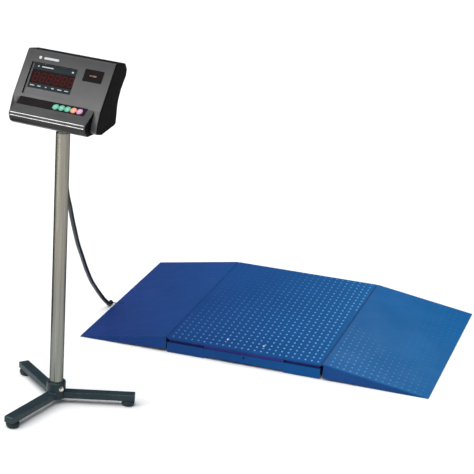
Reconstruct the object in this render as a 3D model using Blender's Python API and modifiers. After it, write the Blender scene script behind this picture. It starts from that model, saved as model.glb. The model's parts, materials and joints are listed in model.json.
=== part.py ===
"""Pallet scale: a low weighing deck with a ramp at each end, and an indicator on a pillar stand."""

import math

import bmesh
import bpy
from mathutils import Matrix, Vector

# Every size is in metres. X is the way a pallet truck drives over, +Z is up, the floor is z = 0.
GAP = 0.0003                    # between two pieces that touch

# Where the two halves of the object stand. The origin is under the middle of the whole object.
DECK_AT = (0.0122, 0.5643)      # middle of the deck
STAND_AT = (-0.6588, -0.8017)   # pillar axis

# Deck
DECK_LENGTH = 0.800
DECK_WIDTH = 1.200
DECK_HEIGHT = 0.083
PLATE = 0.006
EDGE_DROP = 0.012               # height of the folded front and rear edges
EDGE_FOLD = 0.005
GROOVE_TOP = DECK_HEIGHT - PLATE - GAP
GROOVE_BOTTOM = 0.0535          # the dark groove under the deck's edge
GROOVE_DEPTH = 0.030
RAIL_BOTTOM = 0.012
RAIL_SHEET = 0.004
RAIL_DEPTH = 0.070
BOX_INNER = 0.207               # load-cell boxes reach from here to the deck's ends
BOX_END_LEFT = 0.3990
BOX_END_RIGHT = 0.3925
BOX_BOTTOM = 0.004
BOX_DEPTH = 0.158
BOX_WALL = 0.005
RAIL_HOLE_RADIUS = 0.0045
RAIL_HOLE_Z = 0.040

# Load cells and their feet
CELL = (0.130, 0.032, 0.032)
CELL_X = 0.300
CELL_Y = 0.519
FOOT_X = 0.345
FOOT_PAD_RADIUS = 0.025
FOOT_PAD = 0.009
FOOT_STUD_RADIUS = 0.006
FOOT_STUD_TOP = 0.055
FOOT_BORE_CLEARANCE = 0.0004

# Ramps
RAMP_LENGTH_LEFT = 0.463
RAMP_LENGTH_RIGHT = 0.534
RAMP_PLATE = 0.005
TOE = 0.004
HINGE_Z = 0.080
ROD_RADIUS = 0.003
RAMP_EDGE = 0.0034              # from the hinge axis to the ramp plate's upper edge
HOOK_RADIUS = 0.0062
HOOK_TURN = math.radians(75)
RAMP_SIDE = 0.005
RAMP_SIDE_LIFT_LEFT = 0.016     # floor clearance of the side plates at the deck
RAMP_SIDE_LIFT_RIGHT = 0.009

# Cable under the left ramp
LEAD_RADIUS = 0.0025
LEAD_Y = -0.097
LEAD_HOLE_Z = 0.036
LEAD_HOLE_RADIUS = 0.007
SLOT_LENGTH = 0.046
SLOT_WIDTH = 0.008
JUNCTION_X = (-0.315, -0.205)
JUNCTION_HALF_WIDTH = 0.045
JUNCTION_Z = (0.022, 0.0765)

# Stand
LEG_ANGLES = {"right": 18, "front": -102, "rear": 138}
LEG_WIDTH = 0.050
LEG_HEIGHT = 0.030
LEG_WALL = 0.003
LEG_BOTTOM = 0.028
LEG_END = 0.366
LEG_FOOT_AT = 0.335
RUBBER_RADIUS = 0.031
HUB_RADIUS = 0.0445
HUB_BOTTOM = 0.022
HUB_TOP = 0.106
SOCKET_FLOOR = 0.034
TUBE_RADIUS = 0.03175
TUBE_WALL = 0.002
TUBE_BOTTOM = 0.0345
TUBE_TOP = 1.292
BOLT_ANGLE = math.radians(-37)
BOLT_Z = 0.080
BOLT_RADIUS = 0.0050
OUTLET_ANGLE = math.radians(106)
OUTLET_Z = 1.200
OUTLET_END = 0.045              # gland's mouth, from the pillar axis

# Indicator head. Its own frame is turned about the pillar; the tilt axis is level with TILT_Z.
HEAD_YAW = math.radians(-10)
SWIVEL_Z = 1.2988
TILT_Z = 1.3145
HEAD_HALF_WIDTH = 0.2275
HEAD_WALL = 0.003
SPLIT_FOOT = (-0.036, 0.019)    # on the plane between the two halves of the case: (back, up)
SPLIT_LEAN = math.atan2(0.290, 0.138)
LEDGE_HALF_WIDTH = 0.196
FACE_SLOPE = math.radians(58)   # of the display panel
FACE_FOOT = (-0.050, 0.1325)    # where the display panel meets the key ledge: (back, up)
LEDGE_FRONT = (-0.133, 0.0765)
LEDGE_SLOPE = math.atan2(0.056, 0.079)
WINDOW = (-0.174, 0.052, 0.037, 0.153)      # left, right, low, high on the display panel
RECESS_MARGIN = 0.011           # panel left of the window
RECESS_LOW = 0.004
STRIP = (-0.185, 0.163, 0.044, 0.088)       # the same, on the key ledge
STRIP_SHEET = 0.0025
KEY_ALONG = (0.009, 0.0395, 0.070, 0.1005, 0.131)
KEY_UP = 0.0655
KEY_RADIUS = 0.0130
KEY_GAP = 0.0005
KEY_TOP = 0.0020
KEY_DEEP = 0.0085
KEY_FLANGE = 0.0015                # the rim that keeps a key in
MOUNT_AT = (0.0, 0.0280 - 1.1 * GAP)        # the plate under the head: (back, up)
MOUNT_SLOPE = math.atan2(0.021, 0.105)
LUG_HALF = 0.0130               # the lug between the fork's ears
LUG_REACH = 0.0072              # small enough to turn over the fork's base
EAR = (0.0135, 0.0195, 0.0125, 0.0115)     # a fork ear's inside, outside, half depth, height over the pin
PIN_RADIUS = 0.0040
PIN_CLEARANCE = 0.0003
REAR_AT = (0.0742, 0.0890)      # middle of the fittings in the back of the head: (back, up)
REAR_SLOPE = math.atan2(0.1255 - 0.0485, 0.078 - 0.070)
INLET_ALONG, INLET_HALF = 0.110, (0.015, 0.012)
ROCKER_ALONG, ROCKER_HALF = 0.060, (0.0075, 0.0115)
ROCKER_PLAY = 0.0010            # over and under the rocker

# Hose from the pillar to the ramp
HOSE_RADIUS = 0.011
FERRULE_RADIUS = 0.0125
HOSE_STEP = 0.030
LEAD_STEP = 0.012

SIDES = 24                      # flats of a turned shape


def clear_scene():
    """Take out whatever the scene holds."""
    for thing in list(bpy.data.objects):
        bpy.data.objects.remove(thing, do_unlink=True)


def new_collection(name, hidden=False):
    found = bpy.data.collections.new(name)
    bpy.context.scene.collection.children.link(found)
    found.hide_render = hidden
    return found


clear_scene()
PARTS = new_collection("pallet_scale")
CUTTERS = new_collection("cutters", hidden=True)


def material(name, rgb, roughness, metallic=0.0):
    """A plain surface of one colour."""
    made = bpy.data.materials.new(name)
    made.use_nodes = True
    made.diffuse_color = (*rgb, 1)
    shader = made.node_tree.nodes["Principled BSDF"]
    shader.inputs["Base Color"].default_value = (*rgb, 1)
    shader.inputs["Roughness"].default_value = roughness
    shader.inputs["Metallic"].default_value = metallic
    return made


BLUE = material("blue_paint", (0.016, 0.070, 0.250), 0.35)
STEEL = material("bright_steel", (0.55, 0.54, 0.50), 0.25, 1.0)
CELL_METAL = material("nickel_plate", (0.50, 0.50, 0.52), 0.35, 1.0)
BASE = material("dark_base_paint", (0.020, 0.042, 0.046), 0.40)
RUBBER = material("black_rubber", (0.012, 0.013, 0.013), 0.80)
CASE = material("graphite_case", (0.075, 0.075, 0.080), 0.35, 0.4)
CASE_REAR = material("rear_case", (0.012, 0.012, 0.012), 0.50)
BLACK = material("black_plastic", (0.010, 0.010, 0.011), 0.40)
GLASS = material("display_lens", (0.030, 0.010, 0.012), 0.10)
BOARD = material("circuit_board", (0.010, 0.110, 0.040), 0.60)
GREEN_KEY = material("green_key", (0.070, 0.420, 0.260), 0.40)
ORANGE_KEY = material("orange_key", (0.750, 0.280, 0.140), 0.40)
PINK_KEY = material("pink_key", (0.560, 0.200, 0.420), 0.40)


def empty(name, location, turn=0.0, parent=None):
    """A frame to place pieces in."""
    made = bpy.data.objects.new(name, None)
    made.location = location
    made.rotation_euler = (0, 0, turn)
    made.parent = parent
    PARTS.objects.link(made)
    return made


def place(name, mesh, surface, parent, location=(0, 0, 0), matrix=None, into=PARTS):
    """Make an object of a mesh, in its parent's frame."""
    made = bpy.data.objects.new(name, mesh)
    made.parent = parent
    made.matrix_basis = matrix if matrix else Matrix.Translation(location)
    into.objects.link(made)
    if into is CUTTERS:
        made.hide_render = True
        made.display_type = "WIRE"
    else:
        mesh.materials.append(surface)
    return made


def bevel(piece, width, segments=1, angle=30):
    made = piece.modifiers.new("bevel", "BEVEL")
    made.width = width
    made.segments = segments
    made.limit_method = "ANGLE"
    made.angle_limit = math.radians(angle)
    made.harden_normals = False
    return piece


def box(name, low, high, surface, parent, matrix=None, into=PARTS):
    """A block between two corners."""
    low, high = Vector(low), Vector(high)
    mesh = bpy.data.meshes.new(name)
    work = bmesh.new()
    bmesh.ops.create_cube(work, size=1.0)
    size = high - low
    bmesh.ops.scale(work, vec=size, verts=work.verts)
    bmesh.ops.translate(work, vec=(low + high) / 2, verts=work.verts)
    work.to_mesh(mesh)
    work.free()
    return place(name, mesh, surface, parent, matrix=matrix, into=into)


PLANES = {
    # outline's own x, y and thickness directions, as the columns of a turn
    "YZ": Matrix(((0, 0, 1), (1, 0, 0), (0, 1, 0))).to_4x4(),
    "XZ": Matrix(((1, 0, 0), (0, 0, -1), (0, 1, 0))).to_4x4(),
    "XY": Matrix.Identity(4),
}


def outline(name, points, span, plane, surface, parent, matrix=None, into=PARTS):
    """A flat outline in a plane, given thickness from span[0] to span[1] across it."""
    curve = bpy.data.curves.new(name, "CURVE")
    curve.dimensions = "2D"
    curve.fill_mode = "BOTH"
    curve.extrude = abs(span[1] - span[0]) / 2
    line = curve.splines.new("POLY")
    line.points.add(len(points) - 1)
    for point, (x, y) in zip(line.points, points):
        point.co = (x, y, 0, 1)
    line.use_cyclic_u = True
    guide = bpy.data.objects.new(name + "_outline", curve)
    PARTS.objects.link(guide)
    bpy.context.view_layer.update()
    graph = bpy.context.evaluated_depsgraph_get()
    mesh = bpy.data.meshes.new_from_object(guide.evaluated_get(graph))
    bpy.data.objects.remove(guide, do_unlink=True)
    mesh.name = name
    mesh.materials.clear()
    middle = (span[0] + span[1]) / 2
    across = -middle if plane == "XZ" else middle
    work = bmesh.new()
    work.from_mesh(mesh)
    bmesh.ops.remove_doubles(work, verts=work.verts, dist=0.00001)
    bmesh.ops.translate(work, vec=(0, 0, across), verts=work.verts)
    bmesh.ops.transform(work, matrix=PLANES[plane], verts=work.verts)
    bmesh.ops.recalc_face_normals(work, faces=work.faces)
    for face in work.faces:
        face.smooth = False
    work.to_mesh(mesh)
    work.free()
    return place(name, mesh, surface, parent, matrix=matrix, into=into)


def turned(name, profile, surface, parent, matrix=None, steps=SIDES, into=PARTS):
    """A turned shape about its own Z, from a profile of (radius, height) that runs down its outside."""
    mesh = bpy.data.meshes.new(name)
    closed = profile[0] == profile[-1]
    points = profile[:-1] if closed else profile
    count = len(points)
    edges = [(k, (k + 1) % count) for k in range(count if closed else count - 1)]
    mesh.from_pydata([(r, 0, z) for r, z in points], edges, [])
    made = place(name, mesh, surface, parent, matrix=matrix, into=into)
    screw = made.modifiers.new("turn", "SCREW")
    screw.steps = steps
    screw.render_steps = steps
    screw.use_merge_vertices = True
    screw.merge_threshold = 0.00001
    screw.use_smooth_shade = True
    return made


def plug_profile(radius, low, high):
    """A plain round bar's profile, for turned()."""
    return [(0, high), (radius, high), (radius, low), (0, low)]


def pointing(direction, at):
    """A frame at a point whose Z runs along a direction."""
    turn = Vector(direction).to_track_quat("Z", "Y").to_matrix().to_4x4()
    return Matrix.Translation(at) @ turn


def cut(piece, cutter, operation="DIFFERENCE"):
    made = piece.modifiers.new(cutter.name, "BOOLEAN")
    made.object = cutter
    made.operation = operation
    made.solver = "EXACT"
    return piece


def smooth_route(points, step):
    """Points about a step apart on a smooth curve through the route's own points."""
    route = [Vector(p) for p in points]
    route = [2 * route[0] - route[1], *route, 2 * route[-1] - route[-2]]
    fine = []
    for a, b, c, d in zip(route, route[1:], route[2:], route[3:]):
        for k in range(20):
            t = k / 20
            fine.append(0.5 * (2 * b + (c - a) * t + (2 * a - 5 * b + 4 * c - d) * t ** 2
                               + (3 * b - a - 3 * c + d) * t ** 3))
    fine.append(route[-2])
    lengths = [0.0]
    for a, b in zip(fine, fine[1:]):
        lengths.append(lengths[-1] + (b - a).length)
    count = round(lengths[-1] / step)
    found, at = [], 0
    for k in range(count + 1):
        want = lengths[-1] * k / count
        while at < len(fine) - 2 and lengths[at + 1] < want:
            at += 1
        share = (want - lengths[at]) / (lengths[at + 1] - lengths[at])
        found.append(fine[at].lerp(fine[at + 1], share))
    return found


def tube(name, points, radius, surface, parent, resolution=2):
    """A round cord along points."""
    curve = bpy.data.curves.new(name, "CURVE")
    curve.dimensions = "3D"
    curve.bevel_depth = radius
    curve.bevel_resolution = resolution
    curve.use_fill_caps = True
    line = curve.splines.new("POLY")
    line.points.add(len(points) - 1)
    for point, at in zip(line.points, points):
        point.co = (*at, 1)
    return place(name, curve, surface, parent)


def mirrored(points, side):
    """An outline turned over about the up axis when side is -1."""
    return [(side * x, z) for x, z in points]


# --- deck ---

def make_deck_plate(deck):
    half_l = DECK_LENGTH / 2 - RAMP_EDGE + 0.0001
    half_w = DECK_WIDTH / 2
    top, under, low = DECK_HEIGHT, DECK_HEIGHT - PLATE, DECK_HEIGHT - EDGE_DROP
    inner = half_w - EDGE_FOLD
    section = [(-half_w, top), (-half_w, low), (-inner, low), (-inner, under),
               (inner, under), (inner, low), (half_w, low), (half_w, top)]
    outline("deck_plate", section, (-half_l, half_l), "YZ", BLUE, deck)


def make_side_rail(name, side, deck):
    """A folded sheet: a lower face, a groove and a flange under the deck."""
    face = DECK_WIDTH / 2 - 0.002
    back = face - GROOVE_DEPTH
    inner = face - RAIL_DEPTH
    t = RAIL_SHEET
    section = [(face, RAIL_BOTTOM), (face, GROOVE_BOTTOM), (back, GROOVE_BOTTOM), (back, GROOVE_TOP),
               (inner, GROOVE_TOP), (inner, GROOVE_TOP - t), (back - t, GROOVE_TOP - t),
               (back - t, GROOVE_BOTTOM - t), (face - t, GROOVE_BOTTOM - t),
               (face - t, RAIL_BOTTOM + t), (inner, RAIL_BOTTOM + t), (inner, RAIL_BOTTOM)]
    reach = BOX_INNER - GAP
    rail = outline(name, mirrored(section, side), (-reach, reach), "YZ", BLUE, deck)
    if side < 0:
        drill = turned("rail_drill", plug_profile(RAIL_HOLE_RADIUS, -0.02, 0.02), None, deck,
                       pointing((0, 1, 0), (0, side * face, RAIL_HOLE_Z)), 16, CUTTERS)
        cut(rail, drill)


def make_corner_box(name, end, side, deck):
    """The box over a load cell, open below and at both ends, with the deck's groove along its outside."""
    face = DECK_WIDTH / 2 - 0.002
    back = face - GROOVE_DEPTH
    inner = face - BOX_DEPTH
    t = BOX_WALL
    top = GROOVE_TOP
    section = [(face, BOX_BOTTOM), (face, GROOVE_BOTTOM), (back, GROOVE_BOTTOM), (back, top),
               (inner, top), (inner, BOX_BOTTOM), (inner + t, BOX_BOTTOM), (inner + t, top - t),
               (back - t, top - t), (back - t, GROOVE_BOTTOM - t), (face - t, GROOVE_BOTTOM - t),
               (face - t, BOX_BOTTOM)]
    reach = BOX_END_LEFT if end < 0 else BOX_END_RIGHT
    span = sorted((end * BOX_INNER, end * reach))
    outline(name, mirrored(section, side), span, "YZ", BLUE, deck)


def make_load_cell(name, end, side, deck):
    """A shear-beam cell hung from the box's roof, with a bore for its foot."""
    top = GROOVE_TOP - BOX_WALL - GAP
    x, y = end * CELL_X, side * CELL_Y
    low = (x - CELL[0] / 2, y - CELL[1] / 2, top - CELL[2])
    high = (x + CELL[0] / 2, y + CELL[1] / 2, top)
    cell = box(name, low, high, CELL_METAL, deck)
    bore = FOOT_STUD_RADIUS + FOOT_BORE_CLEARANCE
    drill = turned(name + "_drill", plug_profile(bore, 0, FOOT_STUD_TOP + 0.003), None, deck,
                   Matrix.Translation((end * FOOT_X, y, 0)), SIDES, CUTTERS)
    cut(cell, drill)


def make_foot(name, end, side, deck):
    """A levelling foot: a round pad and a stud that turns in the load cell."""
    profile = [(0, FOOT_STUD_TOP), (FOOT_STUD_RADIUS, FOOT_STUD_TOP), (FOOT_STUD_RADIUS, FOOT_PAD + 0.004),
               (0.012, FOOT_PAD + 0.004), (0.014, FOOT_PAD), (FOOT_PAD_RADIUS, FOOT_PAD * 0.7),
               (FOOT_PAD_RADIUS, 0), (0, 0)]
    turned(name, profile, CELL_METAL, deck, Matrix.Translation((end * FOOT_X, side * CELL_Y, 0)))


def make_end_rail(name, end, deck):
    """A square tube across the deck's end, between the load-cell boxes."""
    outer = end * (DECK_LENGTH / 2 - 0.010)
    inner = end * (DECK_LENGTH / 2 - 0.050)
    low, high = sorted((outer, inner))
    reach = DECK_WIDTH / 2 - 0.002 - BOX_DEPTH - GAP
    rail = outline(name, [(low, 0.020), (high, 0.020), (high, GROOVE_TOP), (low, GROOVE_TOP)],
                   (-reach, reach), "XZ", BLUE, deck)
    wall = RAIL_SHEET
    core = box(name + "_core", (low + wall, -1, 0.020 + wall), (high - wall, 1, GROOVE_TOP - wall),
               None, deck, into=CUTTERS)
    cut(rail, core)
    if end < 0:
        drill = turned("lead_drill", plug_profile(LEAD_HOLE_RADIUS, -0.05, 0.05), None, deck,
                       pointing((1, 0, 0), ((outer + inner) / 2, LEAD_Y, LEAD_HOLE_Z)), 16, CUTTERS)
        cut(rail, drill)


def make_stiffener(name, y, deck):
    """A square tube along the deck, between the end rails."""
    reach = DECK_LENGTH / 2 - 0.050 - GAP
    low, high, wall = y - 0.025, y + 0.025, 0.003
    tube_outline = [(low, 0.0370), (high, 0.0370), (high, GROOVE_TOP), (low, GROOVE_TOP)]
    rail = outline(name, tube_outline, (-reach, reach), "YZ", BLUE, deck)
    core = box(name + "_core", (-1, low + wall, 0.0370 + wall), (1, high - wall, GROOVE_TOP - wall),
               None, deck, into=CUTTERS)
    cut(rail, core)


def make_junction_box(deck):
    """The box that joins the load-cell leads, with a gland for the lead that leaves the deck."""
    (x0, x1), (z0, z1) = JUNCTION_X, JUNCTION_Z
    y0, y1 = LEAD_Y - JUNCTION_HALF_WIDTH, LEAD_Y + JUNCTION_HALF_WIDTH
    wall = 0.003
    body = box("junction_box", (x0, y0, z0), (x1, y1, z1), BLACK, deck)
    bevel(body, 0.002, 2)
    core = box("junction_core", (x0 + wall, y0 + wall, z0 + wall), (x1 - wall, y1 - wall, z1 - wall),
               None, deck, into=CUTTERS)
    cut(body, core)
    gland_frame = pointing((-1, 0, 0), (x0 - GAP, LEAD_Y, LEAD_HOLE_Z))
    drill = turned("junction_drill", plug_profile(0.005, -0.01, 0.01), None, deck, gland_frame, 16, CUTTERS)
    cut(body, drill)
    bore = LEAD_RADIUS + 0.0003
    profile = [(bore, 0.020), (0.006, 0.020), (0.0085, 0.016), (0.0085, 0.008), (0.010, 0.007),
               (0.010, 0), (bore, 0), (bore, 0.020)]
    turned("junction_gland", profile, BLACK, deck, gland_frame, 16)


def make_hinge_rod(name, end, deck):
    reach = DECK_WIDTH / 2 - 0.004
    turned(name, plug_profile(ROD_RADIUS, -reach, reach), BLUE, deck,
           pointing((0, 1, 0), (end * DECK_LENGTH / 2, 0, HINGE_Z)), 12)


def make_deck(deck):
    make_deck_plate(deck)
    for side, place_name in ((-1, "front"), (1, "rear")):
        make_side_rail(place_name + "_side_rail", side, deck)
        make_stiffener(place_name + "_stiffener", side * 0.220, deck)
    for end, end_name in ((-1, "left"), (1, "right")):
        make_end_rail(end_name + "_end_rail", end, deck)
        make_hinge_rod(end_name + "_hinge_rod", end, deck)
        for side, side_name in ((-1, "front"), (1, "rear")):
            where = side_name + "_" + end_name
            make_corner_box("corner_box_" + where, end, side, deck)
            make_load_cell("load_cell_" + where, end, side, deck)
            make_foot("levelling_foot_" + where, end, side, deck)
    make_junction_box(deck)


# --- ramps: their outlines are (distance out from the hinge axis, height over the floor) ---

def ramp_top(out, length):
    """Height of the ramp's running surface."""
    return DECK_HEIGHT + (TOE - DECK_HEIGHT) * out / length


def ramp_plate_outline(length):
    drop = RAMP_PLATE * math.hypot(1, (DECK_HEIGHT - TOE) / length)
    slope = (DECK_HEIGHT - TOE) / length
    toe_back = length - (drop - TOE) / slope
    points = [(RAMP_EDGE, DECK_HEIGHT), (RAMP_EDGE, HINGE_Z)]
    steps = 4
    for k in range(1, steps + 1):
        turn = -HOOK_TURN * k / steps
        points.append((RAMP_EDGE * math.cos(turn), HINGE_Z + RAMP_EDGE * math.sin(turn)))
    for k in range(steps, 0, -1):
        turn = -math.radians(30) - (HOOK_TURN - math.radians(30)) * k / steps
        points.append((HOOK_RADIUS * math.cos(turn), HINGE_Z + HOOK_RADIUS * math.sin(turn)))
    points.append((0.0085, ramp_top(0.0085, length) - drop))
    points += [(toe_back, 0), (length, 0), (length, TOE)]
    return points


def ramp_side_outline(length, lift, start):
    """Under the plate: cut back round the hinge, and tapering to the floor at the toe."""
    drop = RAMP_PLATE * math.hypot(1, (DECK_HEIGHT - TOE) / length) + GAP
    slope = (DECK_HEIGHT - TOE) / length
    toe_back = length - (drop - TOE) / slope - 0.012
    return [(start, lift), (start, 0.0720), (0.0090, 0.0720), (0.0090, ramp_top(0.0090, length) - drop),
            (toe_back, ramp_top(toe_back, length) - drop), (toe_back, 0.0004)]


def local_to_hinge(points, side):
    return [(side * out, z - HINGE_Z) for out, z in points]


def make_ramp(name, side, length, lift, start, deck):
    hinge = empty(name + "_hinge", (side * DECK_LENGTH / 2, 0, HINGE_Z), parent=deck)
    half = DECK_WIDTH / 2
    plate = outline(name + "_plate", local_to_hinge(ramp_plate_outline(length), side),
                    (-half, half), "XZ", BLUE, hinge)
    if side < 0:
        slot = box("lead_slot", (-length - 0.01, LEAD_Y - SLOT_WIDTH / 2, -0.2),
                   (-length + SLOT_LENGTH, LEAD_Y + SLOT_WIDTH / 2, 0.2), None, hinge, into=CUTTERS)
        cut(plate, slot)
    shape = local_to_hinge(ramp_side_outline(length, lift, start), side)
    outline(name + "_front_side", shape, (-half, -half + RAMP_SIDE), "XZ", BLUE, hinge)
    outline(name + "_rear_side", shape, (half - RAMP_SIDE, half), "XZ", BLUE, hinge)


# --- stand ---

def radial(angle, radius, z):
    return (radius * math.cos(angle), radius * math.sin(angle), z)


def make_hub(stand):
    bore = TUBE_RADIUS + GAP
    profile = [(0, SOCKET_FLOOR), (bore, SOCKET_FLOOR), (bore, HUB_TOP), (HUB_RADIUS - 0.003, HUB_TOP),
               (HUB_RADIUS, HUB_TOP - 0.003), (HUB_RADIUS, 0.034), (0.042, 0.027), (0.036, HUB_BOTTOM),
               (0, HUB_BOTTOM)]
    hub = turned("base_hub", profile, BASE, stand, steps=32)
    drill = turned("bolt_drill", plug_profile(BOLT_RADIUS + 0.0004, 0.02, 0.06), None, stand,
                   pointing(radial(BOLT_ANGLE, 1, 0), (0, 0, BOLT_Z)), 16, CUTTERS)
    cut(hub, drill)


def make_leg(name, angle, stand):
    """A rectangular tube from the hub, closed at its outer end, with a rubber foot under it."""
    turn = Matrix.Rotation(angle, 4, "Z")
    low = (0.030, -LEG_WIDTH / 2, LEG_BOTTOM)
    high = (LEG_END, LEG_WIDTH / 2, LEG_BOTTOM + LEG_HEIGHT)
    leg = box("base_leg_" + name, low, high, BASE, stand, matrix=turn)
    bevel(leg, 0.003, 2)
    w = LEG_WALL
    core = box("leg_core_" + name, (0, low[1] + w, low[2] + w), (LEG_END - w, high[1] - w, high[2] - w),
               None, stand, matrix=turn, into=CUTTERS)
    cut(leg, core)
    trim = HUB_RADIUS + GAP
    round_end = turned("leg_trim_" + name, plug_profile(trim, -0.1, 0.2), None, stand, steps=32,
                       into=CUTTERS)
    cut(leg, round_end)
    top = LEG_BOTTOM - GAP
    r = RUBBER_RADIUS
    profile = [(0, top), (r * 0.86, top), (r, top - 0.005), (r, top - 0.014), (r * 0.86, 0.004),
               (r * 0.66, 0), (0, 0)]
    turned("rubber_foot_" + name, profile, RUBBER, stand, turn @ Matrix.Translation((LEG_FOOT_AT, 0, 0)))


def make_clamp_bolt(stand):
    """The hexagon screw that holds the pillar in the hub."""
    frame = empty("clamp_bolt_axis", radial(BOLT_ANGLE, HUB_RADIUS, BOLT_Z), parent=stand)
    turn = pointing(radial(BOLT_ANGLE, 1, 0), (0, 0, 0))
    shank = -(HUB_RADIUS - TUBE_RADIUS) + 0.0012
    head = [(0, 0.0100), (0.0078, 0.0100), (0.0092, 0.0088), (0.0092, 0.0019), (0.0120, 0.0018),
            (0.0120, 0.0003), (BOLT_RADIUS, 0.0003), (BOLT_RADIUS, shank), (0, shank)]
    turned("clamp_bolt", head, STEEL, frame, turn, 12)


def make_pillar(stand):
    inner = TUBE_RADIUS - TUBE_WALL
    ring = [(inner, TUBE_BOTTOM), (inner, TUBE_TOP), (TUBE_RADIUS, TUBE_TOP), (TUBE_RADIUS, TUBE_BOTTOM),
            (inner, TUBE_BOTTOM)]
    pillar = turned("pillar_tube", ring, STEEL, stand, steps=32)
    drill = turned("outlet_drill", plug_profile(0.0105, 0.01, 0.06), None, stand,
                   pointing(radial(OUTLET_ANGLE, 1, 0), (0, 0, OUTLET_Z)), 16, CUTTERS)
    cut(pillar, drill)
    start = TUBE_RADIUS + GAP
    bore = 0.0095
    gland = [(bore, OUTLET_END), (0.0130, OUTLET_END), (0.0150, OUTLET_END - 0.004),
             (0.0150, start + 0.006), (0.0170, start + 0.0055), (0.0170, start + 0.0022),
             (bore, start + 0.0022), (bore, OUTLET_END)]
    turned("pillar_gland", gland, BLACK, stand, pointing(radial(OUTLET_ANGLE, 1, 0), (0, 0, OUTLET_Z)), 20)
    top = TUBE_TOP
    plug = inner - 0.0004
    cap = [(0, top + 0.006), (TUBE_RADIUS - 0.002, top + 0.006), (TUBE_RADIUS, top + 0.004),
           (TUBE_RADIUS, top + GAP), (plug, top + GAP), (plug, top - 0.018), (0, top - 0.018)]
    turned("pillar_cap", cap, BLACK, stand, steps=32)


# --- indicator head ---

def on_face(along, up, out=0.0):
    """A point on the display panel, in the head's own frame."""
    back, high = FACE_FOOT
    return Vector((along, back + up * math.cos(FACE_SLOPE) - out * math.sin(FACE_SLOPE),
                   high + up * math.sin(FACE_SLOPE) + out * math.cos(FACE_SLOPE)))


def on_ledge(along, up, out=0.0):
    """A point on the key ledge, in the head's own frame."""
    back, high = LEDGE_FRONT
    return Vector((along, back + up * math.cos(LEDGE_SLOPE) - out * math.sin(LEDGE_SLOPE),
                   high + up * math.sin(LEDGE_SLOPE) + out * math.cos(LEDGE_SLOPE)))


def face_frame(where, slope):
    """A frame whose X runs along the head, whose Y runs up the panel and whose Z points out of it."""
    x = Vector((1, 0, 0))
    y = Vector((0, math.cos(slope), math.sin(slope)))
    z = x.cross(y)
    turn = Matrix((x, y, z)).transposed().to_4x4()
    return Matrix.Translation(where) @ turn


def head_side():
    """The head's side outline, (back, up) from the tilt axis, anticlockwise seen from the left."""
    front = [(0.0565, 0.3165), (-0.064, 0.1255), (-0.083, 0.0750), (-0.092, 0.0400), (-0.088, 0.0290)]
    rear = [(-0.045, 0.0190), (0.060, 0.0400), (0.070, 0.0485), (0.078, 0.1255), (0.084, 0.1520),
            (0.105, 0.1975), (0.143, 0.2505), (0.149, 0.2775), (0.136, 0.3030)]
    return front + rear


def ledge_side():
    """The key ledge's side outline, its rear part inside the head."""
    return [(-0.052, 0.1340), LEDGE_FRONT, (-0.1380, 0.0700), (-0.1385, 0.0580), (-0.134, 0.0430),
            (-0.125, 0.0290), (-0.110, 0.0190), (-0.040, 0.0190), (0.000, 0.0600), (-0.010, 0.1340)]


def shrunk(points, by):
    """An outline moved inwards by a wall, for a closed outline that runs anticlockwise in (x, y)."""
    found = []
    count = len(points)
    for k in range(count):
        a, b, c = (Vector(points[(k + j) % count]) for j in (-1, 0, 1))
        first = (b - a).normalized()
        second = (c - b).normalized()
        inward = Vector((-first.y, first.x)) + Vector((-second.y, second.x))
        inward.normalize()
        half = max(0.35, inward.dot(Vector((-first.y, first.x))))
        found.append(tuple(b + inward * by / half))
    return found


def make_case(name, head, keep_front):
    """One half of the head's hollow case, on its own side of the split."""
    wide = HEAD_HALF_WIDTH
    shell = outline(name, head_side(), (-wide, wide), "YZ", CASE if keep_front else CASE_REAR, head)
    bevel(shell, 0.007, 3, 40)
    if keep_front:
        ledge = outline("ledge_block", ledge_side(), (-LEDGE_HALF_WIDTH, LEDGE_HALF_WIDTH), "YZ", None, head,
                        into=CUTTERS)
        bevel(ledge, 0.004, 2, 40)
        cut(shell, ledge, "UNION")
        ledge_core = outline("ledge_core", shrunk(ledge_side(), HEAD_WALL),
                             (-LEDGE_HALF_WIDTH + HEAD_WALL, LEDGE_HALF_WIDTH - HEAD_WALL), "YZ", None, head,
                             into=CUTTERS)
        cut(shell, ledge_core)
    inner = wide - HEAD_WALL
    core = outline(name + "_core", shrunk(head_side(), HEAD_WALL), (-inner, inner), "YZ", None, head,
                   into=CUTTERS)
    cut(shell, core)
    frame = face_frame((0, *SPLIT_FOOT), SPLIT_LEAN)
    low, high = (-1, GAP / 2) if keep_front else (-GAP / 2, 1)
    cut(shell, box(name + "_split", (-1, -1, low), (1, 1, high), None, head, matrix=frame, into=CUTTERS))
    return shell


def make_openings(front, head):
    """The display recess and the key strip's seat in the front half."""
    left, right, low, high = WINDOW
    face = face_frame(on_face(0, 0), FACE_SLOPE)
    recess = box("display_recess", (left - RECESS_MARGIN, RECESS_LOW, 0), (right, high + 0.001, 0.06), None,
                 head, matrix=face, into=CUTTERS)
    cut(front, recess)
    s_left, s_right, s_low, s_high = STRIP
    ledge = face_frame(on_ledge(0, 0), LEDGE_SLOPE)
    seat = box("strip_seat", (s_left, s_low, -0.02), (s_right, s_high, 0.02), None, head, matrix=ledge,
               into=CUTTERS)
    cut(front, seat)


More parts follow.
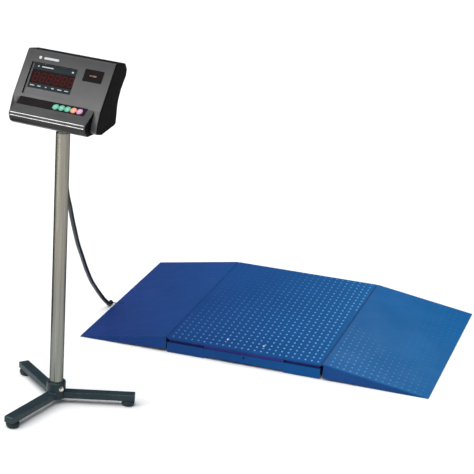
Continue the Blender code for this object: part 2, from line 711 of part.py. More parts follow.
def make_display(head):
    """The sunk panel with its window, and the board of digits behind it."""
    left, right, low, high = WINDOW
    face = face_frame(on_face(0, 0), FACE_SLOPE)
    edge = 0.0004
    panel = box("display_panel", (left - RECESS_MARGIN + edge, RECESS_LOW + edge, -0.0030),
                (right - edge, high + 0.001 - edge, 0), CASE, head, matrix=face)
    rim = 0.002
    hole = box("window_hole", (left, low, -0.02), (right - rim, high - rim, 0.02), None, head, matrix=face,
               into=CUTTERS)
    cut(panel, hole)
    box("display_window", (left + edge, low + edge, -0.0030),
        (right - rim - edge, high - rim - edge, -0.0008), GLASS, head, matrix=face)
    box("display_board", (left + 0.010, low + 0.008, -0.016), (right - 0.012, high - 0.010, -0.0040), BLACK,
        head, matrix=face)


def make_keys(head):
    """The key strip, and the keys that slide in it."""
    left, right, low, high = STRIP
    ledge = face_frame(on_ledge(0, 0), LEDGE_SLOPE)
    strip = box("key_strip", (left + GAP, low + GAP, -STRIP_SHEET), (right - GAP, high - GAP, 0.0004), BLACK,
                head, matrix=ledge)
    paints = (GREEN_KEY, GREEN_KEY, GREEN_KEY, ORANGE_KEY, PINK_KEY)
    for k, (along, paint) in enumerate(zip(KEY_ALONG, paints), 1):
        axis = face_frame(on_ledge(along, KEY_UP), LEDGE_SLOPE)
        drill = turned("key_drill_%d" % k, plug_profile(KEY_RADIUS + KEY_GAP, -0.01, 0.01), None, head, axis,
                       SIDES, CUTTERS)
        cut(strip, drill)
        under = -STRIP_SHEET - KEY_GAP
        flange = KEY_RADIUS + KEY_FLANGE
        profile = [(0, KEY_TOP), (KEY_RADIUS * 0.80, KEY_TOP), (KEY_RADIUS, KEY_TOP - 0.0010),
                   (KEY_RADIUS, under), (flange, under), (flange, under - 0.0015), (0.0060, under - 0.0015),
                   (0.0060, -KEY_DEEP), (0, -KEY_DEEP)]
        turned("key_%d" % k, profile, paint, head, axis, SIDES)


def make_head_mount(swivel, head):
    """The fork on the pillar, the pin through it, and the lug and plate under the head."""
    base = [(0, 0.005), (0.026, 0.005), (0.028, 0.003), (0.028, 0), (0, 0)]
    inside, outside, depth, over_pin = EAR
    pin_z = TILT_Z - SWIVEL_Z
    fork = turned("swivel_fork", base, BLACK, swivel)
    for k, side in enumerate((-1, 1)):
        low, high = sorted((side * inside, side * outside))
        ear = box("fork_ear_%d" % k, (low, -depth, 0.001), (high, depth, pin_z + over_pin), None, swivel,
                  into=CUTTERS)
        bevel(ear, 0.004, 2)
        cut(fork, ear, "UNION")
    bore = plug_profile(PIN_RADIUS + PIN_CLEARANCE, -0.05, 0.05)
    through = pointing((1, 0, 0), (0, 0, pin_z))
    cut(fork, turned("fork_drill", bore, None, swivel, through, 16, CUTTERS))
    half_pin = [(0, 0.0265), (0.0065, 0.0265), (0.0075, 0.0255), (0.0075, 0.0200), (PIN_RADIUS, 0.0200)]
    pin = half_pin + [(radius, -z) for radius, z in reversed(half_pin)]
    turned("pivot_bolt", pin, STEEL, swivel, through, 16)
    frame = face_frame((0, *MOUNT_AT), MOUNT_SLOPE)
    mount = box("head_mount", (-0.060, -0.036, -0.004), (0.060, 0.034, 0), BLACK, head, matrix=frame)
    bevel(mount, 0.0015, 1)
    lug = box("mount_lug", (-LUG_HALF, -LUG_REACH, -LUG_REACH), (LUG_HALF, LUG_REACH, 0.0262), None, head,
              into=CUTTERS)
    bevel(lug, 0.003, 2)
    cut(mount, lug, "UNION")
    cut(mount, turned("lug_drill", bore, None, head, pointing((1, 0, 0), (0, 0, 0)), 16, CUTTERS))


def make_rear_hole(name, rear_case, along, half, play, head):
    """A square hole through the back of the case, and the frame that its fitting stands in."""
    frame = face_frame((along, *REAR_AT), REAR_SLOPE)
    x, y = half[0] + GAP, half[1] + play
    cut(rear_case, box(name, (-x, -y, -0.02), (x, y, 0.02), None, head, matrix=frame, into=CUTTERS))
    return frame


def make_rear_fittings(rear_case, head):
    """Mains inlet and rocker switch, set through the back of the case."""
    frame = make_rear_hole("inlet_hole", rear_case, INLET_ALONG, INLET_HALF, GAP, head)
    wide, high = INLET_HALF
    body = box("power_inlet", (-wide, -high, -0.0015), (wide, high, 0.020), BLACK, head, matrix=frame)
    socket = box("inlet_socket", (-0.0115, -0.0085, -0.01), (0.0115, 0.0085, 0.014), None, head,
                 matrix=frame, into=CUTTERS)
    cut(body, socket)
    frame = make_rear_hole("rocker_hole", rear_case, ROCKER_ALONG, ROCKER_HALF, ROCKER_PLAY, head)
    wide = ROCKER_HALF[0]
    side = [(-0.0105, -0.0030), (0, -0.0012), (0.0105, -0.0004), (0.0105, 0.0080), (-0.0105, 0.0080)]
    outline("power_switch", side, (-wide, wide), "YZ", BLACK, head, matrix=frame)


def make_head(stand):
    swivel = empty("swivel_axis", (0, 0, SWIVEL_Z), HEAD_YAW, stand)
    head = empty("tilt_axis", (0, 0, TILT_Z - SWIVEL_Z), 0, swivel)
    front = make_case("front_case", head, True)
    make_openings(front, head)
    rear = make_case("rear_case", head, False)
    make_rear_fittings(rear, head)
    make_display(head)
    make_keys(head)
    box("main_board", (-0.150, 0.0200, 0.0700), (0.150, 0.0216, 0.1700), BOARD, head)
    make_head_mount(swivel, head)


# --- cables ---

def hose_route():
    """Out of the pillar, down under its own weight to the floor at the ramp, from the deck's middle."""
    return [(-0.6836, -1.3220, 1.2000), (-0.6867, -1.3112, 1.2000), (-0.6962, -1.2781, 1.1932),
            (-0.7043, -1.2500, 1.1736), (-0.7096, -1.2313, 1.1444), (-0.7115, -1.2247, 1.1100),
            (-0.7139, -1.2090, 1.0150), (-0.7200, -1.1730, 0.9400), (-0.7340, -1.1030, 0.8600),
            (-0.7490, -1.0330, 0.7750), (-0.7640, -0.9580, 0.6900), (-0.7845, -0.8650, 0.5960),
            (-0.8100, -0.7440, 0.4910), (-0.8350, -0.6220, 0.3830), (-0.8650, -0.4710, 0.2620),
            (-0.8835, -0.3710, 0.1920), (-0.8940, -0.2840, 0.1270), (-0.8930, -0.2170, 0.0690),
            (-0.8870, -0.1750, 0.0330), (-0.8848, -0.1550, 0.0165), (-0.8840, -0.1410, 0.0128),
            (-0.8840, -0.1260, 0.0128)]


def lead_route():
    """Out of the hose's end, under the ramp's toe and up to the junction box, from the deck's middle."""
    floor, y = 0.0028, LEAD_Y
    return [(-0.8840, -0.1230, 0.0128), (-0.8840, -0.1150, 0.0126), (-0.8830, -0.1080, 0.0092),
            (-0.8785, -0.1015, 0.0055), (-0.8710, y - 0.0008, 0.0034), (-0.8600, y, floor),
            (-0.8200, y, floor), (-0.7400, y, floor), (-0.6400, y, floor), (-0.5400, y, 0.0032),
            (-0.4850, y, 0.0070), (-0.4450, y, 0.0200), (-0.4100, y, 0.0310), (-0.3800, y, 0.0358),
            (-0.3600, y, LEAD_HOLE_Z), (JUNCTION_X[0] - 0.0205, y, LEAD_HOLE_Z)]


def make_cables(deck):
    route = hose_route()
    points = [route[0], *smooth_route(route[1:-1], HOSE_STEP), route[-1]]
    tube("signal_hose", points, HOSE_RADIUS, RUBBER, deck, 3)
    r = FERRULE_RADIUS
    bore = LEAD_RADIUS + 0.0010
    profile = [(bore, 0.0095), (0.0075, 0.0095), (r, 0.007), (r, 0), (bore, 0), (bore, 0.0095)]
    turned("hose_ferrule", profile, BLACK, deck, pointing((0, 1, 0), (-0.8840, -0.1255, 0.0128)), 20)
    route = lead_route()
    tube("ramp_lead", [route[0], *smooth_route(route[1:], LEAD_STEP)], LEAD_RADIUS, RUBBER, deck, 2)


def main():
    deck = empty("deck_frame", (*DECK_AT, 0))
    stand = empty("stand_frame", (*STAND_AT, 0))
    make_deck(deck)
    make_ramp("left_ramp", -1, RAMP_LENGTH_LEFT, RAMP_SIDE_LIFT_LEFT, 0.0037, deck)
    make_ramp("right_ramp", 1, RAMP_LENGTH_RIGHT, RAMP_SIDE_LIFT_RIGHT, 0.0066, deck)
    make_hub(stand)
    for name, degrees in LEG_ANGLES.items():
        make_leg(name, math.radians(degrees), stand)
    make_clamp_bolt(stand)
    make_pillar(stand)
    make_head(stand)
    make_cables(deck)
    bpy.context.view_layer.update()


main()
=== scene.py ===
"""Pallet scale: the looks of its deck, ramps, stand, indicator and cables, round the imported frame."""

import json
import math

import bmesh
import bpy
from mathutils import Matrix, Vector


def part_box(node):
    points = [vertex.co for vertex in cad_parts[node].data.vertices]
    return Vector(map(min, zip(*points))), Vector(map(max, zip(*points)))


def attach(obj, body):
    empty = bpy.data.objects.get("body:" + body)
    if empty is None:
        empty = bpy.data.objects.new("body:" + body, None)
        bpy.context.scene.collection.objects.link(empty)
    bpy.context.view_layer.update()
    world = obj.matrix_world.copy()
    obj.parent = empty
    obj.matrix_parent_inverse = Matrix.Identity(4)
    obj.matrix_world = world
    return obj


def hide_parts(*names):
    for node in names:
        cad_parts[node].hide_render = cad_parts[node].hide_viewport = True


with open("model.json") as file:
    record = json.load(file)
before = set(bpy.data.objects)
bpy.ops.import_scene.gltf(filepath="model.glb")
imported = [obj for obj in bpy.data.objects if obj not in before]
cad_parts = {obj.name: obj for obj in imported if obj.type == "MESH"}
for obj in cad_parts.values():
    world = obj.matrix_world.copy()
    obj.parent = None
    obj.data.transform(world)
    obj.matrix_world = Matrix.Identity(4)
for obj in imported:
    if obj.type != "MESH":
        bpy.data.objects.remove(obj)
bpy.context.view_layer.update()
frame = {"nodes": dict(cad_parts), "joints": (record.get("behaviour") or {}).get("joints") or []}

JOINTS = {joint["name"]: joint for joint in frame["joints"]}


def middle(node):
    low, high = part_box(node)
    return (low + high) / 2


# --- where the frame's parts are, in metres ---

DECK_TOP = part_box("deck_plate")[1].z
DECK_AT = Vector((middle("deck_plate").x, middle("deck_plate").y, 0))
DECK_HALF_WIDTH = (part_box("deck_plate")[1].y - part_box("deck_plate")[0].y) / 2
STAND_AT = Vector((middle("pillar_tube").x, middle("pillar_tube").y, 0))
HUB_RADIUS = (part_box("base_hub")[1].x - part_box("base_hub")[0].x) / 2
LEG_LOW, LEG_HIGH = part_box("base_leg_right")[0].z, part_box("base_leg_right")[1].z
LEG_ANGLES = {"right": math.radians(18), "front": math.radians(-102), "rear": math.radians(138)}
LEG_WIDTH = 0.050
RAMP_HINGE = DECK_AT.x + 0.400  # where the right ramp's slope starts
TOE_HEIGHT = 0.004              # of the ramp's surface at its toe

# The head's own frame: X along the head, Y to its back, Z up, from the tilt axis.
TILT = JOINTS["head_tilt"]
HEAD_YAW = math.atan2(TILT["axis"][1], TILT["axis"][0])
HEAD = Matrix.Translation(TILT["pos_m"]) @ Matrix.Rotation(HEAD_YAW, 4, "Z")
FACE_FOOT, FACE_TOP = (-0.064, 0.1255), (0.0565, 0.3165)     # the case's front, as (back, up)
PANEL_FOOT, PANEL_SLOPE = (-0.050, 0.1325), math.radians(58)  # the sunk display panel
LEDGE_FRONT, LEDGE_SLOPE = (-0.133, 0.0765), math.atan2(0.056, 0.079)
LEDGE_HALF_WIDTH = 0.196
LEDGE_RIDGES = ((-0.1362, 0.0722), (-0.1375, 0.0590))         # down the ledge's nose, as (back, up)
RIDGE_RADIUS = 0.0020
WINDOW = (-0.1736, 0.0496, 0.0374, 0.1506)                    # left, right, low, high on the panel
WINDOW_OUT = -0.0008            # the window's outside, from the panel's
REAR_AT, REAR_SLOPE = (0.0742, 0.0890), math.atan2(0.077, 0.008)  # the back's lower panel, at the fittings
REAR_LOW, REAR_HIGH = (0.0740, 0.0870), (0.1240, 0.2240)          # the middles of the back's two panels
REAR_HIGH_SLOPE = math.atan2(0.053, 0.038)
MOUNT_UNDER, MOUNT_SLOPE = (0.0, 0.0237), math.atan2(0.021, 0.105)  # the underside of the mount's plate
INLET_ALONG, ROCKER_ALONG = 0.110, 0.060
KEY_ALONG = (0.009, 0.0395, 0.070, 0.1005, 0.131)   # the keys' middles, along the ledge
KEY_SLOTS = ("green_key", "green_key", "green_key", "orange_key", "pink_key")
KEY_UP = 0.0655                 # the keys' middles, up the ledge
KEY_TOP = 0.0020                # the keys' tops, out from the ledge
KEY_RING = (0.0137, 0.0151)     # inner and outer radius of the ring printed round a key
FOIL = 0.0004                   # thickness of the foil under the rings
PRINT = 0.00012                 # thickness of a printed mark
GROOVE_HEIGHTS = (0.0537, 0.0780)   # of the groove along the deck's edges
FILLER_DEPTH = (-0.5678, -0.5930, -0.5840)   # the bars' back, the middle bar's front, the end bars' front
FILLER_ENDS = (-0.3940, -0.2065, 0.2065, 0.3880)   # where the bars meet, along the deck from its middle
FILLER_GAP = 0.0020                          # between two of the bars


# --- meshes ---

CORNER_STEPS = 4                # of a quarter turn
ROUND_SIDES = 24                # of a whole turn


def panel_frame(foot, slope, facing=1):
    """A frame on a panel of the head: X along it (facing -1 turns it to the back), Y up it, Z out of it."""
    x = Vector((facing, 0, 0))
    y = Vector((0, math.cos(slope), math.sin(slope)))
    turn = Matrix((x, y, x.cross(y))).transposed().to_4x4()
    return HEAD @ Matrix.Translation((0, *foot)) @ turn


def pointing(direction, at):
    """A frame at a point whose Z runs along a direction."""
    turn = Vector(direction).to_track_quat("Z", "Y").to_matrix().to_4x4()
    return Matrix.Translation(at) @ turn


def keep(name, mesh, look, body, smooth=True):
    """Make a piece of a mesh whose points are already in the row frame."""
    piece = bpy.data.objects.new(name, mesh)
    bpy.context.scene.collection.objects.link(piece)
    mesh.materials.append(look)
    if piece.type == "MESH":
        mesh.polygons.foreach_set("use_smooth", [smooth] * len(mesh.polygons))
    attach(piece, body)
    return piece


def soften(piece, width, segments=2, angle=30):
    """Round the piece's hard edges a little."""
    made = piece.modifiers.new("edges", "BEVEL")
    made.width = width
    made.segments = segments
    made.limit_method = "ANGLE"
    made.angle_limit = math.radians(angle)
    made.harden_normals = True
    return piece


def add_slab(work, outline, low, high, place):
    """Add a flat outline with thickness to a mesh that is being made."""
    rings = [[work.verts.new(place @ Vector((x, y, z))) for x, y in outline] for z in (low, high)]
    count = len(outline)
    work.faces.new(list(reversed(rings[0])))
    work.faces.new(rings[1])
    for k in range(count):
        after = (k + 1) % count
        work.faces.new((rings[0][k], rings[0][after], rings[1][after], rings[1][k]))


def slabs(name, outlines, low, high, place, look, body, slot):
    """One piece of several flat outlines, each with the same thickness."""
    mesh = bpy.data.meshes.new(name)
    work = bmesh.new()
    for outline in outlines:
        add_slab(work, outline, low, high, place)
    bmesh.ops.recalc_face_normals(work, faces=work.faces)
    work.to_mesh(mesh)
    work.free()
    return keep(name, mesh, look, body, smooth=False)


def rounded(width, height, radius, at=(0, 0)):
    """A rectangle with round corners, anticlockwise."""
    steps = CORNER_STEPS
    found = []
    for turn, (sx, sy) in enumerate(((1, 1), (-1, 1), (-1, -1), (1, -1))):
        for k in range(steps + 1):
            angle = math.radians(90) * (turn + k / steps)
            found.append((at[0] + sx * (width / 2 - radius) + radius * math.cos(angle),
                          at[1] + sy * (height / 2 - radius) + radius * math.sin(angle)))
    return found


def round_outline(radius, at=(0, 0)):
    angles = [math.tau * k / ROUND_SIDES for k in range(ROUND_SIDES)]
    return [(at[0] + radius * math.cos(angle), at[1] + radius * math.sin(angle)) for angle in angles]


def hexagon_reach(angle):
    """How far a hexagon's edge is at an angle, as a share of its corner radius."""
    return math.cos(math.radians(30)) / math.cos(angle % math.radians(60) - math.radians(30))


def turned(name, profile, place, look, body, socket=()):
    """A turned shape about its own Z. Rings named in socket are hexagons."""
    sides = ROUND_SIDES
    mesh = bpy.data.meshes.new(name)
    work = bmesh.new()
    rings = []
    for number, (radius, height) in enumerate(profile):
        if number and (radius, height) == profile[0]:
            rings.append(rings[0])
            continue
        if radius == 0:
            rings.append([work.verts.new(place @ Vector((0, 0, height)))])
            continue
        ring = []
        for k in range(sides):
            angle = math.tau * k / sides
            reach = radius * (hexagon_reach(angle) if number in socket else 1)
            at = Vector((reach * math.cos(angle), reach * math.sin(angle), height))
            ring.append(work.verts.new(place @ at))
        rings.append(ring)
    for a, b in zip(rings, rings[1:]):
        for k in range(sides):
            corners = [a[k % len(a)], a[(k + 1) % len(a)], b[(k + 1) % len(b)], b[k % len(b)]]
            work.faces.new(list(dict.fromkeys(corners)))
    bmesh.ops.recalc_face_normals(work, faces=work.faces)
    work.to_mesh(mesh)
    work.free()
    piece = keep(name, mesh, look, body)
    mesh.set_sharp_from_angle(angle=math.radians(35))
    return piece


def round_bar(name, points, radius, look, body, closed=False, resolution=4):
    """A round bar or cord along points, as a curve."""
    curve = bpy.data.curves.new(name, "CURVE")
    curve.dimensions = "3D"
    curve.bevel_depth = radius
    curve.bevel_resolution = resolution
    curve.use_fill_caps = not closed
    line = curve.splines.new("POLY")
    line.points.add(len(points) - 1)
    for point, at in zip(line.points, points):
        point.co = (*at, 1)
    line.use_cyclic_u = closed
    line.use_smooth = True
    if not closed:
        return keep(name, curve, look, body)
    guide = bpy.data.objects.new(name + "_line", curve)
    bpy.context.scene.collection.objects.link(guide)
    mesh = bpy.data.meshes.new_from_object(guide.evaluated_get(bpy.context.evaluated_depsgraph_get()))
    bpy.data.objects.remove(guide)
    return keep(name, mesh, look, body)


def screw(name, place, radius, height, look, body):
    """A domed screw head with a hexagon socket."""
    profile = [(0, height * 0.45), (radius * 0.42, height * 0.45), (radius * 0.45, height * 0.95),
               (radius * 0.60, height), (radius * 0.82, height * 0.85), (radius * 0.97, height * 0.45),
               (radius, 0.0), (radius, -0.0004), (0, -0.0004)]
    return turned(name, profile, place, look, body, socket=(1, 2))


# --- surfaces ---

def linked(tree, kind, inputs=None, **settings):
    """A shader node, with its inputs set to values or joined to other nodes' outputs."""
    made = tree.nodes.new(kind)
    for key, value in settings.items():
        setattr(made, key, value)
    for key, value in (inputs or {}).items():
        if isinstance(value, bpy.types.NodeSocket):
            tree.links.new(value, made.inputs[key])
        else:
            made.inputs[key].default_value = value
    return made


def noise(tree, where, scale, detail=4.0, roughness=0.55):
    return linked(tree, "ShaderNodeTexNoise", {"Vector": where, "Scale": scale, "Detail": detail,
                                               "Roughness": roughness}).outputs["Fac"]


def spread(tree, value, low, high, from_low=0.3, from_high=0.7):
    """Bring a value from one range to another."""
    return linked(tree, "ShaderNodeMapRange", {"Value": value, "From Min": from_low, "From Max": from_high,
                                               "To Min": low, "To Max": high}).outputs["Result"]


def blended(tree, share, first, second):
    """One colour going to another by share."""
    mix = linked(tree, "ShaderNodeMix", data_type="RGBA")
    for number, value in ((0, share), (6, first), (7, second)):
        if isinstance(value, bpy.types.NodeSocket):
            tree.links.new(value, mix.inputs[number])
        elif number == 0:
            mix.inputs[0].default_value = value
        else:
            mix.inputs[number].default_value = (*value, 1)
    return mix.outputs[2]


def edge_wear(tree, width, where):
    """How worn a point is: high in patches along the edges."""
    rounded_normal = linked(tree, "ShaderNodeBevel", {"Radius": width}, samples=4).outputs["Normal"]
    plain_normal = linked(tree, "ShaderNodeNewGeometry").outputs["Normal"]
    same = linked(tree, "ShaderNodeVectorMath", {0: rounded_normal, 1: plain_normal}, operation="DOT_PRODUCT")
    edge = spread(tree, same.outputs["Value"], 1.0, 0.0, 0.90, 0.995)
    patches = spread(tree, noise(tree, where, 45.0, 6.0, 0.7), 0.0, 1.0, 0.46, 0.66)
    return linked(tree, "ShaderNodeMath", {0: edge, 1: patches}, operation="MULTIPLY").outputs[0]


def surface(name, rgb, roughness, metallic=0.0, *, shade=0.10, patch=9.0, stretch=(1, 1, 1),
            rough_spread=0.08, grain=700.0, relief=0.00002, worn=None, worn_width=0.0015, coat=0.0,
            specular=0.5, speckle=0.0, painted_light_fade=None):
    """A finish with patches of tone, uneven gloss, a fine relief and, if worn is a colour, worn edges.
    The fade, if given, is a direction, two places along it and the tone that the colour goes to between them:
    a painted gradient of light and shade."""
    made = bpy.data.materials.new(name)
    made.use_nodes = True
    tree = made.node_tree
    shader = tree.nodes["Principled BSDF"]
    start = linked(tree, "ShaderNodeTexCoord").outputs["Object"]
    where = linked(tree, "ShaderNodeMapping", {"Vector": start, "Scale": stretch}).outputs["Vector"]
    share = spread(tree, noise(tree, where, patch), 0.0, 1.0)
    dark, light = ([value * factor for value in rgb] for factor in (1 - shade, 1 + shade))
    colour = blended(tree, share, dark, light)
    if painted_light_fade:
        direction, first, last, far = painted_light_fade
        along = linked(tree, "ShaderNodeVectorMath", {0: start, 1: direction}, operation="DOT_PRODUCT")
        along = along.outputs["Value"]
        tone = blended(tree, share, [value * (1 - shade) for value in far],
                       [value * (1 + shade) for value in far])
        colour = blended(tree, spread(tree, along, 0.0, 1.0, first, last), colour, tone)
    if speckle:
        flakes = spread(tree, noise(tree, where, grain * 2, 2.0), 0.0, speckle, 0.55, 0.75)
        colour = blended(tree, flakes, colour, tuple(min(1.0, value * 2.2) for value in rgb))
    if worn:
        colour = blended(tree, edge_wear(tree, worn_width, start), colour, worn)
    tree.links.new(colour, shader.inputs["Base Color"])
    uneven = noise(tree, where, patch * 3, 6.0, 0.65)
    tree.links.new(spread(tree, uneven, roughness - rough_spread, roughness + rough_spread),
                   shader.inputs["Roughness"])
    relief_node = linked(tree, "ShaderNodeBump", {"Height": noise(tree, where, grain, 3.0), "Strength": 0.6,
                                                  "Distance": relief})
    tree.links.new(relief_node.outputs["Normal"], shader.inputs["Normal"])
    shader.inputs["Metallic"].default_value = metallic
    shader.inputs["Specular IOR Level"].default_value = specular
    shader.inputs["Coat Weight"].default_value = coat
    shader.inputs["Coat Roughness"].default_value = 0.12
    return made


def tinted(made, rgb):
    """Give a finish's reflections a tint."""
    made.node_tree.nodes["Principled BSDF"].inputs["Specular Tint"].default_value = (*rgb, 1)
    return made


def brushed(made):
    """Marks round the tube draw its reflections out along it, and it darkens to its sides."""
    tree = made.node_tree
    shader = tree.nodes["Principled BSDF"]
    around = linked(tree, "ShaderNodeTangent", direction_type="RADIAL", axis="Z")
    tree.links.new(around.outputs["Tangent"], shader.inputs["Tangent"])
    shader.inputs["Anisotropic"].default_value = 0.8
    shader.inputs["Specular Tint"].default_value = (0.10, 0.10, 0.09, 1)
    return made


def glowing(name, rgb, strength):
    """A lit display segment: its own colour under a satin print, slightly uneven."""
    made = surface(name, rgb, 0.35, patch=60.0, specular=0.06)
    shader = made.node_tree.nodes["Principled BSDF"]
    shader.inputs["Emission Color"].default_value = (*rgb, 1)
    shader.inputs["Emission Strength"].default_value = strength
    return made


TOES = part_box("left_ramp_plate")[0].x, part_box("right_ramp_plate")[1].x
# The blue goes from a dark purple-blue at the left toe to a light cyan-blue at the right toe: painted shade
# on the left, painted sheen on the right.
BLUE_SHADED_LEFT, BLUE_LIT_RIGHT = (0.012, 0.036, 0.165), (0.002, 0.101, 0.296)
BLUE_LIGHT_FADE = Vector((1.0, 0.3, 0))
BLUE = surface("blue_enamel", BLUE_SHADED_LEFT, 0.36, shade=0.08, patch=3.0, grain=260.0, relief=0.00006,
               worn=(0.06, 0.14, 0.36), worn_width=0.002, coat=0.05, specular=0.07,
               painted_light_fade=(BLUE_LIGHT_FADE, TOES[0] + BLUE_LIGHT_FADE.y * DECK_AT.y, TOES[1] + BLUE_LIGHT_FADE.y * DECK_AT.y,
                     BLUE_LIT_RIGHT))
# A darker blue, without the deck's painted sheen, for the right ramp's sides: painted shade.
BLUE_SHADED_SIDE = surface("blue_enamel_shaded_side", (0.009, 0.056, 0.205), 0.36, shade=0.08, patch=3.0, grain=260.0,
                    relief=0.00006, worn=(0.06, 0.14, 0.36), worn_width=0.002, specular=0.07)
# The studs go from dark blue at the deck's back left to light blue at its front right: painted glints.
STUD_UNLIT_BACK, STUD_GLINT_FRONT = (0.010, 0.055, 0.210), (0.110, 0.340, 0.620)
DECK_GLINT_FADE, RAMP_GLINT_FADE = Vector((1.0, -0.45, 0)), Vector((-1.15, -1.0, 0))
DECK_GLINT_START, RAMP_GLINT_START = DECK_GLINT_FADE.dot(DECK_AT), RAMP_GLINT_FADE.dot(DECK_AT)
BLUE_STUD = surface("blue_enamel_studs_painted_glint", STUD_UNLIT_BACK, 0.30, shade=0.15, patch=30.0, grain=260.0,
                    relief=0.00002, coat=0.15,
                    painted_light_fade=(DECK_GLINT_FADE, DECK_GLINT_START - 0.32, DECK_GLINT_START + 0.30, STUD_GLINT_FRONT))
# The ramp's studs go light blue towards the ramp's front, near the deck: painted glints.
RAMP_STUD = surface("blue_enamel_ramp_studs_painted_glint", (0.004, 0.105, 0.300), 0.36, shade=0.10, patch=30.0,
                    grain=260.0, relief=0.00002, specular=0.15,
                    painted_light_fade=(RAMP_GLINT_FADE, RAMP_GLINT_START - 0.65, RAMP_GLINT_START - 0.10, (0.060, 0.270, 0.540)))
# A purple-blue lighter than the groove's own shade would leave it: painted light in the deck's groove.
GROOVE = surface("blue_enamel_groove_painted_light", (0.034, 0.032, 0.210), 0.50, shade=0.20, patch=6.0, specular=0.1)
PLUG = surface("zinc_plug", (0.55, 0.68, 0.80), 0.35, 0.2, patch=60.0)
# A darker blue for the parts under the deck and the right ramp's hinge rod: painted shade.
BLUE_SHADED_UNDER = surface("blue_enamel_shaded_under", (0.010, 0.040, 0.150), 0.50, shade=0.15, patch=6.0)
BASE = surface("slate_enamel", (0.017, 0.033, 0.040), 0.34, shade=0.15, patch=14.0, grain=420.0,
               relief=0.00005, worn=(0.14, 0.21, 0.23), worn_width=0.0035, specular=0.20)
# The tube goes darker and greener towards its foot: painted reflection.
PILLAR = surface("polished_tube_painted_reflection", (0.265, 0.250, 0.215), 0.28, 1.0, shade=0.20, patch=110.0,
                 stretch=(1, 1, 0.02), grain=900.0, relief=0.00001,
                 painted_light_fade=((0, 0, 1), 0.75, 0.15, (0.215, 0.225, 0.205)))
STEEL = surface("plated_steel", (0.62, 0.60, 0.55), 0.25, 1.0, patch=60.0)
NICKEL = surface("nickel_plate", (0.50, 0.50, 0.52), 0.34, 1.0, patch=25.0, stretch=(0.2, 1, 1))
RUBBER = surface("foot_rubber", (0.017, 0.031, 0.037), 0.55, shade=0.25, patch=25.0, grain=900.0,
                 relief=0.00008, specular=0.15)
HOSE = surface("hose_rubber", (0.008, 0.008, 0.009), 0.45, shade=0.25, patch=18.0, grain=500.0,
               relief=0.00005)
# The face goes from dark graphite at its top to a lighter grey at its bottom: painted sheen.
CASE = surface("graphite_case", (0.034, 0.033, 0.034), 0.38, 0.35, shade=0.06, patch=7.0, grain=1500.0,
               relief=0.00002, worn=(0.30, 0.30, 0.31), worn_width=0.0015, speckle=0.25, specular=0.35,
               painted_light_fade=((0, 0, 1), HEAD.translation.z + 0.30, HEAD.translation.z + 0.10, (0.110, 0.109, 0.110)))
# A darker copy of the case's grey for the ledge, going near black down its nose: painted shade.
LEDGE_PAINTED_SHADE = surface("graphite_ledge_painted_shade", (0.026, 0.026, 0.027), 0.34, 0.35, shade=0.06, patch=7.0,
                      grain=1500.0, relief=0.00002, worn=(0.30, 0.30, 0.31), worn_width=0.0015,
                      speckle=0.25, specular=0.35,
                      painted_light_fade=((0, 0, 1), HEAD.translation.z + 0.075, HEAD.translation.z + 0.020,
                            (0.010, 0.010, 0.010)))
# Near black for the case's faces that do not look to the front or back: painted shade.
CASE_SHADED_SIDE = surface("black_case_shaded_side", (0.006, 0.0055, 0.0055), 0.58, shade=0.15, patch=20.0, grain=1200.0,
                    relief=0.00006, worn=(0.04, 0.04, 0.04), specular=0.04)
CASE_REAR = surface("black_case", (0.020, 0.019, 0.019), 0.50, shade=0.15, patch=20.0, grain=1200.0,
                    relief=0.00006, worn=(0.06, 0.06, 0.06), specular=0.25)
BLACK = surface("black_plastic", (0.008, 0.008, 0.009), 0.45, shade=0.15, patch=40.0, grain=1200.0,
                relief=0.00004, specular=0.35)
FORK = surface("fork_paint", (0.012, 0.012, 0.013), 0.40, shade=0.20, patch=30.0, worn=(0.25, 0.25, 0.24))
BOARD = surface("circuit_board", (0.010, 0.110, 0.040), 0.55, shade=0.20, patch=80.0, grain=300.0,
                relief=0.0001)
# A light grey on ridges of the graphite case: painted highlight.
RIDGE = surface("ridge_painted_highlight", (0.62, 0.62, 0.64), 0.36, 0.5, shade=0.25, patch=26.0, grain=1500.0)
LENS = surface("display_lens", (0.011, 0.0025, 0.0025), 0.34, shade=0.30, patch=12.0, rough_spread=0.03,
               relief=0.000005, specular=0.06)
BAND = surface("display_band", (0.013, 0.022, 0.026), 0.38, patch=30.0, rough_spread=0.03, relief=0.000005,
               specular=0.08)
STRIP = surface("key_foil", (0.006, 0.004, 0.004), 0.42, shade=0.25, patch=25.0, rough_spread=0.05,
                specular=0.06)
WHITE_PRINT = surface("white_print", (0.50, 0.52, 0.52), 0.45, patch=120.0)
RED_PRINT = surface("red_print", (0.20, 0.065, 0.065), 0.40, patch=120.0)
RED_GLOW = glowing("red_segments", (0.060, 0.003, 0.003), 0.30)
brushed(PILLAR)
tinted(BLUE, (0.15, 0.60, 1.0))
tinted(RAMP_STUD, (0.15, 0.60, 1.0))
KEYS = {"green_key": surface("green_key", (0.055, 0.400, 0.250), 0.35, patch=120.0, coat=0.3),
        "orange_key": surface("orange_key", (0.720, 0.250, 0.130), 0.35, patch=120.0, coat=0.3),
        "pink_key": surface("pink_key", (0.520, 0.190, 0.400), 0.35, patch=120.0, coat=0.3)}


